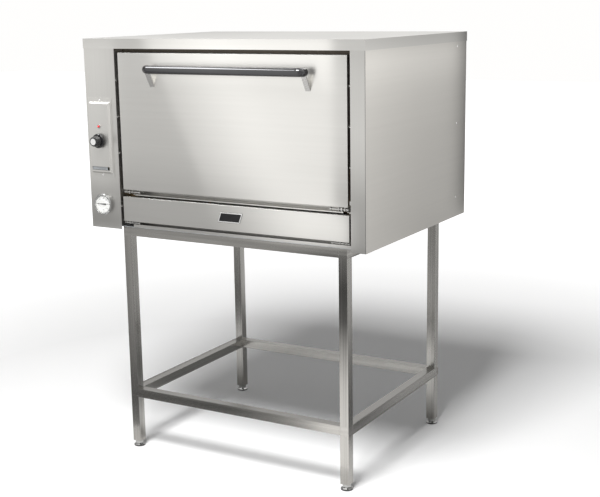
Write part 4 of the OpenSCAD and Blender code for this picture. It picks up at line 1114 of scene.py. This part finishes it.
class OVEN_OT_seal(PieceOperator, bpy.types.Operator):
    """Makes the braided seal round the mouth of the cavity"""

    bl_idname = "oven.seal"
    bl_label = "Door seal"

    def make(self):
        low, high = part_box("door_seal")
        thick = high.y - low.y
        path = even_points(seal_path(low, high), SEAL_STEP)
        bm = bmesh.new()
        rings = []
        for i, here in enumerate(path):
            along = (path[(i + 1) % len(path)] - path[i - 1]).normalized()
            side = along.cross(Vector((0, 1, 0))).normalized()
            phase = 2 * math.pi * i * SEAL_STEP / sizes().braid_pitch
            ring = []
            for turn in turns(SEAL_SIDES):
                grow = 0.90 + 0.10 * math.sin(phase + 2 * turn) * math.sin(phase - 2 * turn)
                ring.append(bm.verts.new(here + side * (SEAL_WIDTH / 2 * grow * math.cos(turn))
                                         + Vector((0, thick / 2 * grow * math.sin(turn), 0))))
            rings.append(ring)
        bridge(bm, rings, closed=True)
        made = piece("braided_seal", bm, "oven", "seal_cord")
        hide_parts("door_seal")


def tufted(name, node):
    """A copy of a wool block, remeshed and pulled in by soft tufts, so that it stays inside the block."""
    obj = new_object(name, NODES[node].data.copy())
    modify(obj, "join_corners", "WELD", merge_threshold=TOUCHING)
    modify(obj, "tufts", "REMESH", mode="VOXEL", voxel_size=sizes().wool_voxel, use_smooth_shade=True)
    bm = evaluated(obj)
    bm.normal_update()
    for vert in bm.verts:
        tuft = 0.5 + 0.5 * noise.noise(vert.co * TUFT_SCALE)
        vert.co -= vert.normal * (WOOL_INSET + TUFT_DEPTH * tuft)
    made = piece(name, bm, BODY_OF[node], "wool")
    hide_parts(node)


class OVEN_OT_insulation(PieceOperator, bpy.types.Operator):
    """Makes the mineral wool round the cavity and in the door"""

    bl_idname = "oven.insulation"
    bl_label = "Insulation"

    def make(self):
        tufted("wool_blanket", "insulation")
        tufted("door_wool", "door_insulation")


# Stand

STAND_TUBES = ["stand_legs", "stand_top_rails", "stand_lower_rails"]
FEET = ["front_left_foot", "front_right_foot", "rear_left_foot", "rear_right_foot"]
PAD_SIDES = 64
PAD_INNER = -0.0005


def bead(bm, start, end):
    """A rippled weld bead between two points."""
    radius, step = sizes().bead_radius, sizes().bead_step
    run = (end - start).length
    count = max(6, int(run / (step / 4)))
    points, radii = [], []
    for i in range(count + 1):
        share = i / count
        ends = math.sqrt(max(0.0, 1 - (2 * share - 1) ** 8))
        ripple = 0.85 + 0.15 * abs(math.sin(math.pi * share * run / step))
        points.append(start.lerp(end, share))
        radii.append((max(radius * ends * ripple, radius * 0.15),) * 2)
    tube_along(bm, points, radii)


class OVEN_OT_stand(PieceOperator, bpy.types.Operator):
    """Dresses the stand's tubes and feet, and adds the weld beads where rails meet legs"""

    bl_idname = "oven.stand"
    bl_label = "Stand"

    def make(self):
        dress(STAND_TUBES, sizes().tube_round, 3)
        dress(["leg_inserts"], sizes().small_round)
        dress_round(FEET)
        for name in FEET:
            self.pad_ring(name)
        self.welds()

    def pad_ring(self, name):
        """The black rubber ring round a foot's pad."""
        low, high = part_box(name)
        middle = (low + high) / 2
        rise = sizes().pad_ring
        # Out from the pad's edge, and up from its foot
        outer = [(0.0, 0.0002), (0.0004, 0.0005), (0.0005, rise * 0.5), (0.0004, rise - 0.0003), (0.0, rise)]
        inner = [(PAD_INNER, z) for out, z in reversed(outer)]
        bm = bmesh.new()
        rings = []
        for out, z in outer + inner:
            radius = (high.x - low.x) / 2 + out
            rings.append([bm.verts.new((middle.x + radius * math.cos(turn),
                                        middle.y + radius * math.sin(turn), low.z + z))
                          for turn in turns(PAD_SIDES)])
        bridge(bm, rings, closed=True)
        piece(name.replace("_foot", "_pad_ring"), bm, BODY_OF[name], "insert_plastic")

    def welds(self):
        """Beads above, below and on the inner side of each rail's end."""
        bm = bmesh.new()
        for rails in STAND_TUBES[1:]:
            for low, high in islands(NODES[rails]):
                self.rail_beads(bm, low, high)
        piece("weld_beads", bm, "oven", "stand_tube")

    def rail_beads(self, bm, low, high):
        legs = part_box("stand_legs")
        keep = sizes().tube_round
        run = 0 if high.x - low.x > high.y - low.y else 1
        across = 1 - run
        beyond = (low[across] + high[across]) / 2 > (legs[0][across] + legs[1][across]) / 2
        inner = low[across] if beyond else high[across]
        sides = (low[across] + keep, high[across] - keep)
        lines = [(sides, (low.z, low.z)), (sides, (high.z, high.z)),
                 ((inner, inner), (low.z + keep, high.z - keep))]
        for end in (low[run], high[run]):
            for places, heights in lines:
                ends = [Vector((end, place, z) if run == 0 else (place, end, z))
                        for place, z in zip(places, heights)]
                bead(bm, *ends)


# Stage

FLOOR_SIZE = 20.0
FLOOR_Z = -0.0005
LIGHT_TINT = (1.0, 0.995, 0.985)
KEY_PLACE = (0.45, -3.2, 5.8)
KEY_SIZE = 2.0
STRIP_PLACE = (-1.25, -1.25, 3.1)
STRIP_AIM = (0.0, -0.45, 1.5)
STRIP_SIZE = (1.4, 0.8)
CARD_FOOT = 0.01
SENSOR = 36.0
CLIP = (0.05, 60.0)

# Brightness of the cards at a place on the oven: by height, by distance past the field's edge or by depth
COLUMN_TONE = ((0.85, 0.34), (0.92, 0.36), (0.95, 0.46), (1.04, 0.64), (1.08, 0.82), (1.165, 0.89),
               (1.35, 0.97), (1.46, 1.05), (1.57, 1.10), (1.65, 0.80))
DOOR_TONE = ((0.85, 0.30), (0.92, 0.48), (0.96, 0.60), (1.02, 0.55), (1.1, 0.65), (1.2, 0.74), (1.3, 0.77),
             (1.5, 0.79), (1.57, 0.82), (1.65, 0.72))
FIELD_TONE = ((-0.1, 0.0), (-0.006, 0.0), (0.008, 0.27), (0.055, 0.29), (0.12, 0.42), (0.18, 0.51),
              (0.24, 0.60), (0.32, 0.65), (0.45, 0.56), (0.7, 0.48))
LOW_FIELD_TONE = ((-0.1, 0.0), (0.0, 0.0), (0.03, 0.10), (0.1, 0.17), (0.2, 0.42), (0.3, 0.72), (0.4, 0.88),
                  (0.7, 0.74))
STRIP_TONE = ((0.85, 0.46), (0.995, 0.49), (1.06, 0.58), (1.13, 0.75), (1.2, 0.90), (1.3, 1.00), (1.5, 0.93),
              (1.65, 0.74))
LEFT_LEG_TONE = ((0.0, 0.38), (0.1, 0.38), (0.2, 0.20), (0.4, 0.38), (0.6, 0.54), (0.9, 0.66))
RIGHT_LEG_TONE = ((0.0, 1.84), (0.17, 1.74), (0.29, 1.60), (0.4, 1.38), (0.52, 0.80), (0.63, 0.22),
                  (0.75, 0.14), (0.9, 0.40))
DEPTH_TONE = ((-0.5, 1.2), (-0.42, 1.18), (-0.35, 1.09), (-0.17, 1.0), (0.0, 0.93), (0.12, 0.91), (0.2, 0.93),
              (0.29, 1.0), (0.35, 0.95), (0.385, 0.66), (0.415, 0.12), (0.5, 0.0))
SIDE_HEIGHT_TONE = ((0.85, 0.62), (0.92, 0.68), (1.07, 0.75), (1.29, 0.84), (1.43, 0.93), (1.5, 1.10),
                    (1.54, 1.24), (1.57, 1.10), (1.6, 0.90), (1.65, 0.85))
SIDE_LEG_TONE = ((0.0, 0.08), (0.25, 0.14), (0.43, 0.30), (0.62, 0.54), (0.75, 0.72), (0.9, 0.80))
BACK_LEG_TONE = 0.56
# Where the field's edge lies at a height, plus 1, and the right leg's share from the middle to the right
FIELD_EDGE = ((0.90, 0.97), (1.09, 0.927), (1.29, 0.841), (1.64, 0.67))
RIGHT_SHARE = ((0.0, 0.0), (0.1, 0.08), (0.23, 0.2), (0.33, 0.42), (0.43, 1.0), (0.5, 1.0))
# Start and end of each change from one tone to the next
STAND_TO_CASING = (0.885, 0.905)
COLUMN_TO_DOOR = (-0.47, -0.44)
DOOR_TO_STRIP = (0.462, 0.488)
LOW_TO_FIELD = (0.98, 1.14)
FRONT_TO_BACK_LEG = (-0.18, 0.08)


def seen_directly(t, path):
    return t.maths("MAXIMUM", path["Is Camera Ray"], path["Is Transmission Ray"])


def floor_material():
    """A pale floor that keeps the oven's shadow and is white far from it."""
    m = Finish("studio_floor", Roughness=0.9)
    far = m.spread(m.vector_maths("LENGTH", m.vector).outputs["Value"], studio().floor_white, 1.0, 1.8, 5.0)
    path = m.add("LightPath").outputs
    mirrored = m.maths("MULTIPLY", path["Is Glossy Ray"], studio().mirrored_floor)
    seen = m.maths("MAXIMUM", seen_directly(m, path), mirrored)
    m.set(Base_Color=m.mix(m.spots(8.0, 2.0)["Tone"], (0.94, 0.94, 0.94), (0.93, 0.93, 0.93)),
          Emission_Color=(1.0, 1.0, 1.0), Emission_Strength=m.maths("MULTIPLY", seen, far))
    return m.material


def studio_world():
    """A pale room, white where it is seen. The metal sees it brighter above and at the right."""
    world = bpy.data.worlds.new("studio")
    bpy.context.scene.world = world
    world.use_nodes = True
    t = Tree(world.node_tree)
    at = t.split(t.add("TexCoord").outputs["Generated"])
    upward = t.spread(at["Z"], 0.80, 1.05, -0.15, 0.8)
    backward = t.spread(at["Y"], 1.0, 0.82, 0.6, 1.0)
    overhead = t.spread(at["Z"], 1.0, 1.9, 0.55, 0.85)
    right = t.spread(at["X"], 1.0, 1.7, 0.45, 0.8)
    left = t.spread(at["X"], 0.6, 1.0, -0.85, -0.4)
    room = t.maths("MULTIPLY", upward, studio().room)
    mirrored = t.maths("MULTIPLY", upward, backward, studio().mirrored_room, overhead, right, left)
    path = t.add("LightPath").outputs
    light = t.mix_number(path["Is Glossy Ray"], room, mirrored)
    t.put(t.tree.nodes["Background"], Color=LIGHT_TINT,
          Strength=t.mix_number(seen_directly(t, path), light, 1.0))


def served_place(t, axis, sheet, camera, gap):
    """Where on a sheet the camera sees a spot of a card that stands in front of it by gap."""
    share = gap / abs(camera[axis] - sheet)
    moved = t.vector_maths("ADD", t.add("TexCoord").outputs["Object"], camera * share)
    scaled = t.vector_maths("SCALE", moved)
    t.put(scaled, Scale=1.0 / (1.0 + share))
    return t.split(scaled)


def card(name, axis, sheet, tone, low, high, top):
    """A graded card that only the metal sees, in front of a sheet that faces along an axis.

    It reaches from low to high across and up to top. tone gives its brightness at the place it serves.
    """
    camera = camera_place()
    gap = studio().card_distance
    level = sheet + math.copysign(gap, camera[axis] - sheet)
    bm = bmesh.new()
    bm.faces.new([bm.verts.new((level, across, z) if axis == 0 else (across, level, z))
                  for across, z in ((low, CARD_FOOT), (low, top), (high, top), (high, CARD_FOOT))])
    obj = new_object(name, mesh_from(name, bm))
    material = bpy.data.materials.new(name)
    material.use_nodes = True
    t = Tree(material.node_tree)
    t.tree.nodes.remove(t.tree.nodes["Principled BSDF"])
    seen = tone(t, served_place(t, axis, sheet, camera, gap))
    light = t.add("Emission", Color=LIGHT_TINT, Strength=t.maths("MULTIPLY", seen, studio().cards))
    back = t.add("NewGeometry").outputs["Backfacing"]
    t.put(t.tree.nodes["Material Output"], Surface=t.add("MixShader", back, light, t.add("BsdfTransparent")))
    obj.data.materials.append(material)
    obj.visible_camera = obj.visible_diffuse = obj.visible_transmission = obj.visible_shadow = False


def front_tone(t, at):
    """Even grey on the left, a slanting edge, a bright field that grows to the right, and a grey strip."""
    x, z = at["X"], at["Z"]
    grey = t.mix_number(t.rise(x, *COLUMN_TO_DOOR), t.ramp(z, COLUMN_TONE), t.ramp(z, DOOR_TONE))
    past = t.maths("SUBTRACT", t.maths("ADD", x, 1.0), t.ramp(z, FIELD_EDGE))
    field = t.mix_number(t.rise(z, *LOW_TO_FIELD), t.ramp(past, LOW_FIELD_TONE), t.ramp(past, FIELD_TONE))
    # The field is brighter still behind the handle
    flash = t.maths("MULTIPLY", t.spread(z, 0.0, 0.28, 1.42, 1.55), t.rise(past, -0.01, 0.02))
    # The strip starts further right below the door, beside the flap
    from_strip = t.maths("SUBTRACT", x, t.spread(z, 0.055, 0.0, 1.02, 1.04))
    upper = t.mix_number(t.rise(from_strip, *DOOR_TO_STRIP), t.maths("ADD", grey, field, flash),
                         t.ramp(z, STRIP_TONE))
    lower = t.mix_number(t.ramp(x, RIGHT_SHARE), t.ramp(z, LEFT_LEG_TONE), t.ramp(z, RIGHT_LEG_TONE))
    return t.mix_number(t.rise(z, *STAND_TO_CASING), lower, upper)


def side_tone(t, at):
    """Bright at the top front, darker towards the back and the foot."""
    y, z = at["Y"], at["Z"]
    upper = t.maths("MULTIPLY", t.ramp(y, DEPTH_TONE), t.ramp(z, SIDE_HEIGHT_TONE))
    lower = t.mix_number(t.rise(y, *FRONT_TO_BACK_LEG), t.ramp(z, SIDE_LEG_TONE), BACK_LEG_TONE)
    return t.mix_number(t.rise(z, *STAND_TO_CASING), lower, upper)


def camera_place():
    s = studio()
    return Vector((s.camera_x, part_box("control_column")[0].y - s.camera_y, s.camera_z))


def softbox(name, place, look_at, wide, high, brightness):
    """An area light of an even brightness that the camera doesn't see."""
    lamp = bpy.data.lights.new(name, "AREA")
    lamp.shape = "RECTANGLE"
    lamp.size, lamp.size_y = wide, high
    lamp.energy = brightness * wide * high * math.pi
    obj = new_object(name, lamp)
    turn = (Vector(place) - Vector(look_at)).to_track_quat("Z", "Y").to_matrix().to_4x4()
    obj.matrix_world = Matrix.Translation(place) @ turn
    obj.visible_camera = False
    return obj


def photo_camera():
    """The camera, at the photograph's viewing angle."""
    s = studio()
    turn = Vector((math.cos(s.yaw), math.sin(s.yaw), 0))
    ahead = Vector((-math.sin(s.yaw) * math.cos(s.pitch), math.cos(s.yaw) * math.cos(s.pitch),
                    math.sin(s.pitch)))
    lift = turn.cross(ahead)
    right = turn * math.cos(s.roll) + lift * math.sin(s.roll)
    up = lift * math.cos(s.roll) - turn * math.sin(s.roll)
    data = bpy.data.cameras.new("photo_camera")
    data.sensor_width = SENSOR
    data.lens = s.lens
    data.clip_start, data.clip_end = CLIP
    camera = new_object("photo_camera", data)
    turned = Matrix((right, up, -ahead)).transposed().to_4x4()
    camera.matrix_world = Matrix.Translation(camera_place()) @ turned
    bpy.context.scene.camera = camera


class OVEN_OT_stage(PieceOperator, bpy.types.Operator):
    """Makes the floor, the studio light and the camera"""

    bl_idname = "oven.stage"
    bl_label = "Studio"

    def make(self):
        bm = bmesh.new()
        bmesh.ops.create_grid(bm, x_segments=2, y_segments=2, size=FLOOR_SIZE)
        floor = new_object("studio_floor", mesh_from("studio_floor", bm))
        floor.location.z = FLOOR_Z
        floor.data.materials.append(floor_material())
        studio_world()
        card("front_card", 1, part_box("control_column")[0].y, front_tone, low=-1.5, high=0.7, top=1.64)
        card("side_card", 0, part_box("right_side_panel")[1].x, side_tone, low=-0.45, high=1.1, top=1.7)
        middle = (CAD_BOX[0] + CAD_BOX[1]) / 2
        softbox("key_softbox", KEY_PLACE, middle, KEY_SIZE, KEY_SIZE, studio().key)
        strip = softbox("strip_light", STRIP_PLACE, STRIP_AIM, *STRIP_SIZE, studio().strip)
        strip.visible_diffuse = False
        photo_camera()
        bpy.context.scene.view_settings.view_transform = "Standard"


OPERATORS = (OVEN_OT_casing, OVEN_OT_screws, OVEN_OT_door, OVEN_OT_flap, OVEN_OT_badge, OVEN_OT_handle,
             OVEN_OT_controls, OVEN_OT_thermometer, OVEN_OT_cavity, OVEN_OT_burners, OVEN_OT_seal,
             OVEN_OT_insulation, OVEN_OT_stand, OVEN_OT_stage)
SETTINGS = {"oven_sizes": OvenSizes, "oven_colours": OvenColours, "oven_studio": OvenStudio}


class OVEN_PT_panel(bpy.types.Panel):
    """Lists the dressing steps and their sizes, colours and light"""

    bl_idname = "OVEN_PT_panel"
    bl_label = "Deck oven"
    bl_space_type = "VIEW_3D"
    bl_region_type = "UI"
    bl_category = "Deck oven"

    def draw(self, context):
        for operator in OPERATORS:
            self.layout.operator(operator.bl_idname)
        for name, settings in SETTINGS.items():
            box = self.layout.box()
            for setting in settings.__annotations__:
                box.prop(getattr(context.scene, name), setting)


CLASSES = (*SETTINGS.values(), *OPERATORS, OVEN_PT_panel)


def register():
    for item in CLASSES:
        bpy.utils.register_class(item)
    for name, settings in SETTINGS.items():
        setattr(bpy.types.Scene, name, PointerProperty(type=settings))


def unregister():
    for name in SETTINGS:
        delattr(bpy.types.Scene, name)
    for item in reversed(CLASSES):
        bpy.utils.unregister_class(item)


def main():
    """Registers the add-on and dresses the oven."""
    register()
    for operator in OPERATORS:
        category, name = operator.bl_idname.split(".")
        getattr(getattr(bpy.ops, category), name)()


if __name__ == "__main__":
    main()
